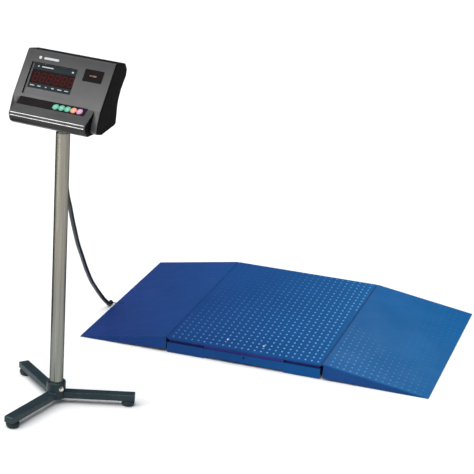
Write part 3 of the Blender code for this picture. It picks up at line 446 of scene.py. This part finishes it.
def paint_nodes():
    """Give each CAD node its finish."""
    looks = {
        BLUE: ("deck_plate", "front_side_rail", "rear_side_rail", "left_ramp_plate", "right_ramp_plate",
               "left_ramp_front_side", "left_ramp_rear_side",
               "corner_box_front_left", "corner_box_front_right", "corner_box_rear_left",
               "corner_box_rear_right", "left_hinge_rod"),
        BLUE_SHADED_SIDE: ("right_ramp_front_side", "right_ramp_rear_side"),
        BLUE_SHADED_UNDER: ("front_stiffener", "rear_stiffener", "left_end_rail", "right_end_rail",
                     "right_hinge_rod"),
        NICKEL: tuple(kind + where for kind in ("load_cell_", "levelling_foot_")
                      for where in ("front_left", "front_right", "rear_left", "rear_right")),
        BASE: ("base_hub", "base_leg_right", "base_leg_front", "base_leg_rear"),
        RUBBER: ("rubber_foot_right", "rubber_foot_front", "rubber_foot_rear"),
        PILLAR: ("pillar_tube", "pillar_cap", "swivel_fork"),
        STEEL: ("clamp_bolt", "pivot_bolt"),
        FORK: ("head_mount",),
        BLACK: ("junction_box", "junction_gland", "pillar_gland", "power_inlet", "power_switch",
                "display_board", "hose_ferrule"),
        CASE: ("front_case", "display_panel"),
        CASE_REAR: ("rear_case",),
        LENS: ("display_window",),
        STRIP: ("key_strip",),
        BOARD: ("main_board",),
        KEYS["green_key"]: ("key_1", "key_2", "key_3"),
        KEYS["orange_key"]: ("key_4",),
        KEYS["pink_key"]: ("key_5",),
    }
    for look, names in looks.items():
        for name in names:
            piece = frame["nodes"][name]
            piece.data.materials.clear()
            piece.data.materials.append(look)
    paint_case()
    paint_groove_light()


def paint_case():
    """The case is grey on its face and near black round its sides, top and underside, and the rear case is
    near black round its sides: painted shade. The ledge's nose is a darker grey, also painted shade, and the
    wings beside the ledge keep the face's lighter lower grey: a painted highlight.
    """
    front, rear = (frame["nodes"][name].data for name in ("front_case", "rear_case"))
    front.materials.append(CASE_SHADED_SIDE)
    front.materials.append(LEDGE_PAINTED_SHADE)
    rear.materials.append(CASE_SHADED_SIDE)
    to_head = HEAD.inverted()
    for face in front.polygons:
        normal = to_head.to_3x3() @ face.normal
        at = to_head @ face.center
        if normal.y > -0.30 or abs(normal.x) > 0.60:
            face.material_index = 1
        # The ledge gets its darker painted shade; the wings beyond its ends keep the face's grey, lighter low
        # down: painted highlight.
        elif (at.y < FACE_FOOT[0] - 0.012 or at.z < 0.030) and at.x < LEDGE_HALF_WIDTH + 0.001:
            face.material_index = 2
    # The rear case is black plastic on its back and near black, painted shade, round its sides.
    for face in rear.polygons:
        normal = to_head.to_3x3() @ face.normal
        face.material_index = 0 if normal.y > 0.30 else 1


def paint_groove_light():
    """The groove under the deck's edge gets a lighter purple-blue: painted light that stands in for light
    reaching into it.
    """
    low, high = GROOVE_HEIGHTS
    for name in ("front_side_rail", "rear_side_rail"):
        rail = frame["nodes"][name].data
        rail.materials.append(GROOVE)
        for face in rail.polygons:
            if low < face.center.z < high and abs(face.normal.y) > 0.5:
                face.material_index = 1


def round_node_edges():
    """Thin painted sheet and tube has slightly round edges."""
    widths = {"deck_plate": 0.0012, "left_ramp_plate": 0.0010, "right_ramp_plate": 0.0010,
              "left_ramp_front_side": 0.0006, "right_ramp_front_side": 0.0006, "front_side_rail": 0.0010,
              "corner_box_front_left": 0.0012, "corner_box_front_right": 0.0012, "key_strip": 0.0002,
              "display_panel": 0.0003}
    for name, width in widths.items():
        piece = frame["nodes"][name]
        weld = piece.modifiers.new("weld", "WELD")
        weld.merge_threshold = 0.00001
        soften(piece, width, 2, 40)


# --- camera, light and floor ---

CAMERA_AT = (2.1332, -7.5777, 3.395)
CAMERA_TURN = (-16.2, 19.18, 3.6)   # yaw, pitch down and roll, in degrees
LENS_LENGTH = 131.0                 # in millimetres, on a sensor 36 mm wide


def make_camera():
    yaw, pitch, roll = (math.radians(angle) for angle in CAMERA_TURN)
    ahead = Vector((math.sin(yaw) * math.cos(pitch), math.cos(yaw) * math.cos(pitch), -math.sin(pitch)))
    level = Vector((math.cos(yaw), -math.sin(yaw), 0))
    above = level.cross(ahead)
    right = level * math.cos(roll) + above * math.sin(roll)
    up = above * math.cos(roll) - level * math.sin(roll)
    lens = bpy.data.cameras.new("camera")
    lens.sensor_width = 36.0
    lens.lens = LENS_LENGTH
    camera = bpy.data.objects.new("camera", lens)
    camera.matrix_world = Matrix((right, up, -ahead)).transposed().to_4x4()
    camera.location = CAMERA_AT
    bpy.context.scene.collection.objects.link(camera)
    bpy.context.scene.camera = camera


def area_light(name, at, target, size, power, colour=(1, 1, 1)):
    light = bpy.data.lights.new(name, "AREA")
    light.shape = "RECTANGLE"
    light.size, light.size_y = size
    light.energy = power
    light.color = colour
    lamp = bpy.data.objects.new(name, light)
    lamp.matrix_world = pointing(Vector(at) - Vector(target), at)
    bpy.context.scene.collection.objects.link(lamp)
    return lamp


def sun_light(name, at, angle, strength):
    """A large soft light, the same all over the floor."""
    light = bpy.data.lights.new(name, "SUN")
    light.angle = math.radians(angle)
    light.energy = strength
    lamp = bpy.data.objects.new(name, light)
    lamp.matrix_world = pointing(at, at)
    bpy.context.scene.collection.objects.link(lamp)


CARD_TONE = 0.10
FLOOR_TONE, FLOOR_REACH = 0.93, 40.0
ROOM_SEEN, ROOM_REFLECTED = (1.0, 1.0, 1.0), (0.10, 0.11, 0.13)


def dark_card(name, first, last, reach, height):
    """A grey board upright on the floor, across from one direction to another of the stand.
    Only reflections show it."""
    ends = []
    for angle in (first, last):
        turn = math.radians(angle)
        ends.append(STAND_AT + Vector((reach * math.cos(turn), reach * math.sin(turn), 0)))
    up = Vector((0, 0, height))
    mesh = bpy.data.meshes.new(name)
    mesh.from_pydata([ends[0], ends[1], ends[1] + up, ends[0] + up], [], [(0, 1, 2, 3)])
    board = bpy.data.objects.new(name, mesh)
    bpy.context.scene.collection.objects.link(board)
    look = bpy.data.materials.new(name)
    look.use_nodes = True
    shader = look.node_tree.nodes["Principled BSDF"]
    shader.inputs["Base Color"].default_value = (CARD_TONE, CARD_TONE, CARD_TONE, 1)
    shader.inputs["Roughness"].default_value = 1.0
    shader.inputs["Specular IOR Level"].default_value = 0.0
    mesh.materials.append(look)
    board.visible_camera = False
    board.visible_diffuse = False
    board.visible_shadow = False


def make_studio():
    """A white room to the camera, with dim walls for the reflections."""
    world = bpy.data.worlds.new("studio")
    bpy.context.scene.world = world
    world.use_nodes = True
    tree = world.node_tree
    seen = linked(tree, "ShaderNodeLightPath").outputs["Is Camera Ray"]
    back = tree.nodes["Background"]
    tree.links.new(blended(tree, seen, ROOM_REFLECTED, ROOM_SEEN), back.inputs["Color"])
    back.inputs["Strength"].default_value = 1.0
    sun_light("soft_sky", (-0.25, -0.30, 1.0), 80, 3.6)
    area_light("front_strip", (-3.6, -4.4, 1.6), (-0.6, -0.8, 0.9), (0.5, 2.6), 60, (1.0, 0.95, 0.86))
    area_light("back_light", (0.2, 5.2, 2.6), (0.1, 0.5, 0.05), (1.6, 1.0), 14, (0.55, 0.85, 1.0))
    dark_card("card_left", 200, 140, 1.0, 1.3)
    dark_card("card_right", 85, 55, 0.6, 1.2)
    bpy.context.scene.view_settings.view_transform = "Standard"


def make_floor():
    """A plain pale floor."""
    mesh = bpy.data.meshes.new("floor")
    reach = FLOOR_REACH
    mesh.from_pydata([(-reach, -reach, 0), (reach, -reach, 0), (reach, reach, 0), (-reach, reach, 0)], [],
                     [(0, 1, 2, 3)])
    floor = bpy.data.objects.new("floor", mesh)
    bpy.context.scene.collection.objects.link(floor)
    look = bpy.data.materials.new("pale_floor")
    look.use_nodes = True
    shader = look.node_tree.nodes["Principled BSDF"]
    shader.inputs["Base Color"].default_value = (FLOOR_TONE, FLOOR_TONE, FLOOR_TONE, 1)
    shader.inputs["Roughness"].default_value = 0.9
    shader.inputs["Specular IOR Level"].default_value = 0.0
    mesh.materials.append(look)


# --- cables ---

HOSE_RADIUS = 0.011
LEAD_RADIUS = 0.0025
HOSE_STEP, LEAD_STEP = 0.015, 0.008   # between the points of the smooth lines
ROUTE_STEPS = 20                      # of the curve between two points of a route
LEAD_FLOOR = 0.0028                   # the lead's height where it lies on the floor
LEAD_ACROSS = -0.097                  # where the lead runs, across from the deck's middle


def smooth_route(points, step):
    """Points about a step apart on a smooth curve through the route's own points."""
    route = [Vector(p) for p in points]
    route = [2 * route[0] - route[1], *route, 2 * route[-1] - route[-2]]
    fine = []
    for a, b, c, d in zip(route, route[1:], route[2:], route[3:]):
        for k in range(ROUTE_STEPS):
            t = k / ROUTE_STEPS
            fine.append(0.5 * (2 * b + (c - a) * t + (2 * a - 5 * b + 4 * c - d) * t ** 2
                               + (3 * b - a - 3 * c + d) * t ** 3))
    fine.append(route[-2])
    lengths = [0.0]
    for a, b in zip(fine, fine[1:]):
        lengths.append(lengths[-1] + (b - a).length)
    count = round(lengths[-1] / step)
    found, at = [], 0
    for k in range(count + 1):
        want = lengths[-1] * k / count
        while at < len(fine) - 2 and lengths[at + 1] < want:
            at += 1
        share = (want - lengths[at]) / (lengths[at + 1] - lengths[at])
        found.append(fine[at].lerp(fine[at + 1], share))
    return found


def hose_route():
    """Out of the pillar, down under its own weight and onto the floor at the ramp, from the deck's middle."""
    return [(-0.6836, -1.3220, 1.2000), (-0.6867, -1.3112, 1.2000), (-0.6962, -1.2781, 1.1932),
            (-0.7043, -1.2500, 1.1736), (-0.7096, -1.2313, 1.1444), (-0.7115, -1.2247, 1.1100),
            (-0.7139, -1.2090, 1.0150), (-0.7200, -1.1730, 0.9400), (-0.7340, -1.1030, 0.8600),
            (-0.7490, -1.0330, 0.7750), (-0.7640, -0.9580, 0.6900), (-0.7845, -0.8650, 0.5960),
            (-0.8100, -0.7440, 0.4910), (-0.8350, -0.6220, 0.3830), (-0.8650, -0.4710, 0.2620),
            (-0.8835, -0.3710, 0.1920), (-0.8940, -0.2840, 0.1270), (-0.8930, -0.2170, 0.0690),
            (-0.8870, -0.1750, 0.0330), (-0.8848, -0.1550, 0.0165), (-0.8840, -0.1410, 0.0128),
            (-0.8840, -0.1260, 0.0128)]


def lead_route():
    """Out of the hose's end, under the ramp's toe and up to the junction box, from the deck's middle."""
    floor, y = LEAD_FLOOR, LEAD_ACROSS
    return [(-0.8840, -0.1230, 0.0128), (-0.8840, -0.1150, 0.0126), (-0.8830, -0.1080, 0.0092),
            (-0.8785, -0.1015, 0.0055), (-0.8710, y - 0.0008, 0.0034), (-0.8600, y, floor),
            (-0.8200, y, floor), (-0.7400, y, floor), (-0.6400, y, floor), (-0.5400, y, 0.0032),
            (-0.4850, y, 0.0070), (-0.4450, y, 0.0200), (-0.4100, y, 0.0310), (-0.3800, y, 0.0358),
            (-0.3600, y, 0.036), (-0.3355, y, 0.036)]


def make_cables():
    route = hose_route()
    points = [Vector(route[0]), *smooth_route(route[1:-1], HOSE_STEP), Vector(route[-1])]
    points = [point + DECK_AT for point in points]
    hose = round_bar("signal_hose_look", points, HOSE_RADIUS, HOSE, "deck_and_stand",
                     resolution=6)
    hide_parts("signal_hose")
    route = lead_route()
    points = [Vector(route[0]), *smooth_route(route[1:], LEAD_STEP)]
    points = [point + DECK_AT for point in points]
    lead = round_bar("ramp_lead_look", points, LEAD_RADIUS, HOSE, "deck_and_stand")
    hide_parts("ramp_lead")


# --- the deck's tread ---

TREAD_PITCH = (0.0325, 0.0445)
TREAD_SHIFT = -0.0014           # of each row along the deck
TREAD_SIZE = (0.0060, 0.0086)   # half length and half width of one stud
TREAD_HEIGHT = 0.0018
TREAD_TURN = math.radians(12)
STUD_SIDES = 10
STUD_RINGS = ((1.0, -0.15), (0.82, 0.50), (0.45, 0.92))   # shares of its size and of its height
LEAST_STUD = 0.0002             # studs lower than this are worn away
EDGE_MARGIN = 0.016             # bare strip at the deck's front and back edges
DECK_STUDS, RAMP_STUDS = (-0.382, 0.385), (0.415, 0.905)   # first and last, along from the deck's middle
PLUGS = ((-0.109, -0.512), (0.079, -0.5155))
PLUG_CLEAR = 0.018              # round a plug, where there are no studs


def add_stud(work, place, height):
    """One low oval stud."""
    sides = STUD_SIDES
    half_length, half_width = TREAD_SIZE
    rings = []
    for reach, share in STUD_RINGS:
        ring = []
        for k in range(sides):
            angle = math.tau * k / sides
            at = Vector((half_length * reach * math.cos(angle), half_width * reach * math.sin(angle),
                         height * share))
            ring.append(work.verts.new(place @ at))
        rings.append(ring)
    top = work.verts.new(place @ Vector((0, 0, height)))
    for a, b in zip(rings, rings[1:]):
        for k in range(sides):
            work.faces.new((a[k], a[(k + 1) % sides], b[(k + 1) % sides], b[k]))
    for k in range(sides):
        work.faces.new((rings[-1][k], rings[-1][(k + 1) % sides], top))
    work.faces.new(list(reversed(rings[0])))


def make_tread(name, plate, along, body, look, worn):
    """Rows of studs on a plate. plate gives the frame of a point on it, along the first and last column."""
    mesh = bpy.data.meshes.new(name)
    work = bmesh.new()
    turn = Matrix.Rotation(TREAD_TURN, 4, "Z")
    rows = int((DECK_HALF_WIDTH - EDGE_MARGIN) / TREAD_PITCH[1])
    for row in range(-rows, rows + 1):
        first = math.ceil((along[0] - row * TREAD_SHIFT) / TREAD_PITCH[0])
        last = math.floor((along[1] - row * TREAD_SHIFT) / TREAD_PITCH[0])
        for column in range(first, last + 1):
            x = column * TREAD_PITCH[0] + row * TREAD_SHIFT
            y = row * TREAD_PITCH[1]
            height = TREAD_HEIGHT * worn(x, y)
            if height > LEAST_STUD and all(math.dist((x, y), plug) > PLUG_CLEAR for plug in PLUGS):
                add_stud(work, plate(x, y) @ turn, height)
    bmesh.ops.recalc_face_normals(work, faces=work.faces)
    work.to_mesh(mesh)
    work.free()
    return keep(name, mesh, look, body)


def fading(value, full, gone):
    """1 at full, going smoothly to 0 at gone."""
    share = min(1.0, max(0.0, (value - gone) / (full - gone)))
    return share * share * (3 - 2 * share)


def on_deck(x, y):
    return Matrix.Translation(DECK_AT + Vector((x, y, DECK_TOP)))


def on_right_ramp(x, y):
    """A frame on the ramp's running surface, x from the deck's middle."""
    slope = math.atan2(DECK_TOP - TOE_HEIGHT, TOES[1] - RAMP_HINGE)
    out = DECK_AT.x + x - RAMP_HINGE
    height = DECK_TOP - out * math.tan(slope)
    return Matrix.Translation((DECK_AT.x + x, DECK_AT.y + y, height)) @ Matrix.Rotation(slope, 4, "Y")


def deck_relief(x, y):
    """The studs are worn lower towards the deck's back left."""
    return 0.15 + 0.85 * fading(DECK_GLINT_FADE.dot((x, y, 0)), -0.12, -0.42)


def ramp_relief(x, y):
    """The studs are worn lower up the ramp's back."""
    return 0.15 + 0.85 * fading(RAMP_GLINT_FADE.dot((x, y, 0)), -0.25, -0.60)


def make_treads():
    make_tread("deck_tread", on_deck, DECK_STUDS, "deck_and_stand", BLUE_STUD, deck_relief)
    make_tread("right_ramp_tread", on_right_ramp, RAMP_STUDS, "right_ramp", RAMP_STUD, ramp_relief)


def make_plugs():
    """Button-headed plugs that close the lifting-eye holes near the deck's front edge."""
    profile = [(0, 0.0078), (0.0034, 0.0071), (0.0056, 0.0053), (0.0062, 0.0038), (0.0055, 0.0020),
               (0.0040, 0.0006), (0.0040, 0), (0, 0)]
    for number, (x, y) in enumerate(PLUGS, 1):
        turned("hole_plug_%d" % number, profile, on_deck(x, y), PLUG, "deck_and_stand")


def make_groove_filler():
    """Flat bars that fill the deck's front groove: deeper in at the corner boxes than between them. They
    carry the groove's purple-blue painted light.
    """
    back, middle_front, end_front = FILLER_DEPTH
    bars = []
    for left, right, front in zip(FILLER_ENDS, FILLER_ENDS[1:], (end_front, middle_front, end_front)):
        at = ((left + right) / 2, (front + back) / 2)
        bars.append(rounded(right - left - FILLER_GAP, back - front, 0.0010, at))
    bar = slabs("groove_filler", bars, *GROOVE_HEIGHTS, Matrix.Translation(DECK_AT), GROOVE,
                "deck_and_stand", "blue_paint")
    soften(bar, 0.0008)


# --- the stand's details ---

BEAD_OUT = 0.0012               # how far a weld bead's middle line is from the hub
BEAD_RADIUS = 0.0017


def make_weld_beads():
    """A bead of weld round each leg where it meets the hub."""
    reach = HUB_RADIUS + BEAD_OUT
    half = LEG_WIDTH / 2
    steps = 8
    for name, angle in LEG_ANGLES.items():
        turn = Matrix.Translation(STAND_AT) @ Matrix.Rotation(angle, 4, "Z")
        points = []
        for k in range(steps + 1):
            across = -half + 2 * half * k / steps
            points.append((math.sqrt(reach ** 2 - across ** 2), across, LEG_HIGH))
        for k in range(steps + 1):
            across = half - 2 * half * k / steps
            points.append((math.sqrt(reach ** 2 - across ** 2), across, LEG_LOW))
        points = [turn @ Vector(point) for point in points]
        round_bar("weld_bead_" + name, points, BEAD_RADIUS, BASE, "deck_and_stand",
                  closed=True, resolution=2)


# --- the indicator's details ---

FACE = panel_frame(FACE_FOOT, math.atan2(FACE_TOP[1] - FACE_FOOT[1], FACE_TOP[0] - FACE_FOOT[0]))
PANEL = panel_frame(PANEL_FOOT, PANEL_SLOPE)
LEDGE = panel_frame(LEDGE_FRONT, LEDGE_SLOPE)
DIGIT = (0.0215, 0.0400)        # width and height of one digit
DIGIT_BAR = 0.0040
DIGIT_PITCH = 0.0358
DIGIT_START = -0.1465
DIGIT_UP = 0.0915
DIGIT_LEAN = math.tan(math.radians(7))
BAND_HEIGHTS = (0.0270, 0.0230)  # the bands over and under the digits
BAND_MARGIN = 0.0004            # between a band and the window's edge
LAMP_START, LAMP_PITCH, LAMP_HEIGHT = -0.1520, 0.0353, 0.0034
LAMP_WIDTHS = (0.023, 0.017, 0.007, 0.015, 0.022, 0.019)   # of the marks under the digits
SIDE_PLATE_AT, SIDE_PLATE_SIZE, SIDE_PLATE_TOP = (0.136, 0.150), (0.096, 0.056), 0.0009
FACE_MARKS_UP = 0.1905
REAR_SCREWS = ((-0.205, -0.028), (0.205, -0.028), (-0.205, 0.028), (0.205, 0.028))
RIBS, RIB_START, RIB_PITCH, RIB_SIZE = 13, -0.060, 0.010, (0.0026, 0.036)
RATING_PLATE_AT, RATING_PLATE_SIZE = (0.080, 0.004), (0.070, 0.034)
INLET_PINS = ((-0.0060, -0.0025), (0.0, 0.0025), (0.0060, -0.0025))
PIN_HALF = (0.0010, 0.0020)     # half width and half height of a pin
MOUNT_SCREWS = ((-0.050, -0.026), (-0.050, 0.026), (0.050, -0.026), (0.050, 0.026))


def segments():
    """The seven bars of a digit, as outlines about its middle."""
    wide, high, half, gap = DIGIT[0] / 2, DIGIT[1] / 2, DIGIT_BAR / 2, 0.0006
    across = [(-wide + gap, 0), (-wide + gap + half, half), (wide - gap - half, half), (wide - gap, 0),
              (wide - gap - half, -half), (-wide + gap + half, -half)]
    found = []
    for up in (-high, 0, high):
        found.append([(x, y + up) for x, y in across])
    for side in (-wide, wide):
        for low, top in ((-high, 0), (0, high)):
            found.append([(side, low + gap), (side + half, low + gap + half),
                          (side + half, top - gap - half), (side, top - gap),
                          (side - half, top - gap - half), (side - half, low + gap + half)])
    return found


def make_display_prints():
    """The bands of the display's foil, its digits and the marks for its lamps."""
    left, right, low, high = WINDOW
    wide = right - left
    middle_u = (left + right) / 2
    over, under = BAND_HEIGHTS
    out = WINDOW_OUT
    bands = [rounded(wide - 2 * BAND_MARGIN, over, 0.0008, (middle_u, high - over / 2 - BAND_MARGIN)),
             rounded(wide - 2 * BAND_MARGIN, under, 0.0008, (middle_u, low + under / 2 + BAND_MARGIN))]
    slabs("display_bands", bands, out, out + PRINT, PANEL, BAND, "head", "display_lens")
    bars = []
    for number in range(6):
        along = DIGIT_START + number * DIGIT_PITCH
        for bar in segments():
            bars.append([(along + x + y * DIGIT_LEAN, DIGIT_UP + y) for x, y in bar])
    slabs("display_digits", bars, out, out + PRINT, PANEL, RED_GLOW, "head", "display_lens")
    marks = []
    for number, width in enumerate(LAMP_WIDTHS):
        at = (LAMP_START + number * LAMP_PITCH, low + under * 0.55)
        marks.append(rounded(width, LAMP_HEIGHT, 0.0010, at))
    top = high - over * 0.42
    marks.append(rounded(0.008, 0.0048, 0.0015, (-0.150, top)))
    marks.append(rounded(0.058, 0.0046, 0.0015, (-0.103, top)))
    marks.append(rounded(0.009, 0.0070, 0.0015, (0.027, top - 0.001)))
    slabs("display_marks", marks, out + PRINT, out + 2 * PRINT, PANEL, WHITE_PRINT, "head", "display_lens")


def make_face_plates():
    """A dark plate on the right of the face with a plain mark, and a plain light bar at its upper left."""
    along, up = SIDE_PLATE_AT
    top = SIDE_PLATE_TOP
    plate = slabs("side_plate", [rounded(*SIDE_PLATE_SIZE, 0.0025, SIDE_PLATE_AT)], -0.0002, top, FACE, STRIP,
                  "head", "black_plastic")
    soften(plate, 0.0004, 2)
    marks = [rounded(0.011, 0.0052, 0.0015, (along - 0.013, up)),
             rounded(0.020, 0.0066, 0.0020, (along + 0.006, up))]
    slabs("side_plate_marks", marks, top, top + PRINT, FACE, RED_PRINT, "head", "black_plastic")
    bars = [rounded(0.076, 0.0100, 0.0035, (-0.092, FACE_MARKS_UP)),
            round_outline(0.0072, (-0.150, FACE_MARKS_UP))]
    slabs("face_marks", bars, 0.0, PRINT, FACE, WHITE_PRINT, "head", "case_front")


def make_key_rings():
    """A ring of the key's colour printed on the foil round each key."""
    inner, outer = KEY_RING
    ring = [(inner, FOIL), (inner, FOIL + PRINT), (outer, FOIL + PRINT), (outer, FOIL), (inner, FOIL)]
    for number, (along, slot) in enumerate(zip(KEY_ALONG, KEY_SLOTS), 1):
        place = LEDGE @ Matrix.Translation((along, KEY_UP, 0))
        turned("key_%d_ring" % number, ring, place, KEYS[slot], "head")


def make_key_marks():
    """A plain symbol on each key."""
    bar = rounded(0.0090, 0.0016, 0.0007)
    symbols = [[bar],
               [[(x, y + 0.0020) for x, y in bar], [(x, y - 0.0020) for x, y in bar]],
               [[(-0.0038, -0.0032), (0.0038, -0.0032), (0.0, 0.0038)]],
               [round_outline(0.0032)],
               [rounded(0.0062, 0.0062, 0.0010)]]
    for number, (along, slot, outlines) in enumerate(zip(KEY_ALONG, KEY_SLOTS, symbols), 1):
        place = LEDGE @ Matrix.Translation((along, KEY_UP, 0))
        slabs("key_%d_mark" % number, outlines, KEY_TOP, KEY_TOP + PRINT, place, WHITE_PRINT,
              "button_%d" % number, slot)


def make_ledge_ridges():
    """Two ridges moulded along the ledge's nose, in a light grey that is a painted highlight."""
    half = LEDGE_HALF_WIDTH - 0.007
    for number, (back, up) in enumerate(LEDGE_RIDGES, 1):
        points = [HEAD @ Vector((-half + 2 * half * k / 12, back, up)) for k in range(13)]
        round_bar("ledge_ridge_%d" % number, points, RIDGE_RADIUS, RIDGE, "head", resolution=3)


def make_rear_details():
    """Screws, cooling ribs and a blank rating plate on the back of the case."""
    lower = panel_frame(REAR_LOW, REAR_SLOPE, -1)
    upper = panel_frame(REAR_HIGH, REAR_HIGH_SLOPE, -1)
    for number, (along, up) in enumerate(REAR_SCREWS, 1):
        screw("rear_screw_%d" % number, lower @ Matrix.Translation((along, up, 0.0)), 0.0040, 0.0020, STEEL,
              "head")
    ribs = [rounded(*RIB_SIZE, 0.0012, (RIB_START + RIB_PITCH * k, 0)) for k in range(RIBS)]
    piece = slabs("cooling_ribs", ribs, -0.0004, 0.0014, upper, CASE_REAR, "head", "case_rear")
    soften(piece, 0.0005, 2)
    outline = rounded(*RATING_PLATE_SIZE, 0.002, RATING_PLATE_AT)
    plate = slabs("rating_plate", [outline], -0.0002, 0.0006, lower, NICKEL, "head", "nickel_plate")
    soften(plate, 0.0002, 1)


def make_rear_fitting_details():
    """The inlet's three pins, and a plain bar and ring on the rocker switch."""
    inlet = panel_frame(REAR_AT, REAR_SLOPE, -1) @ Matrix.Translation((-INLET_ALONG, 0, 0))
    wide, high = PIN_HALF
    pins = [[(x - wide, y - high), (x + wide, y - high), (x + wide, y + high), (x - wide, y + high)]
            for x, y in INLET_PINS]
    slabs("inlet_pins", pins, -0.0135, -0.0030, inlet, STEEL, "head", "bright_steel")
    rocker = panel_frame(REAR_AT, REAR_SLOPE, -1) @ Matrix.Translation((-ROCKER_ALONG, 0, 0.0006))
    bar = rounded(0.0010, 0.0042, 0.0004, (0, 0.0055))
    ring = round_outline(0.0021, (0, -0.0060))
    slabs("rocker_marks", [bar, ring], -0.0006, 0.0, rocker, WHITE_PRINT, "power_rocker", "black_plastic")


def make_mount_screws():
    """Four screws that hold the mount under the head."""
    under = panel_frame(MOUNT_UNDER, MOUNT_SLOPE) @ Matrix.Rotation(math.pi, 4, "X")
    for number, (along, up) in enumerate(MOUNT_SCREWS, 1):
        screw("mount_screw_%d" % number, under @ Matrix.Translation((along, up, 0)), 0.0035, 0.0018, STEEL,
              "head")


def main():
    make_camera()
    make_cables()
    make_studio()
    make_floor()
    paint_nodes()
    round_node_edges()
    make_treads()
    make_plugs()
    make_groove_filler()
    make_weld_beads()
    make_display_prints()
    make_face_plates()
    make_key_rings()
    make_key_marks()
    make_ledge_ridges()
    make_rear_details()
    make_rear_fitting_details()
    make_mount_screws()


main()
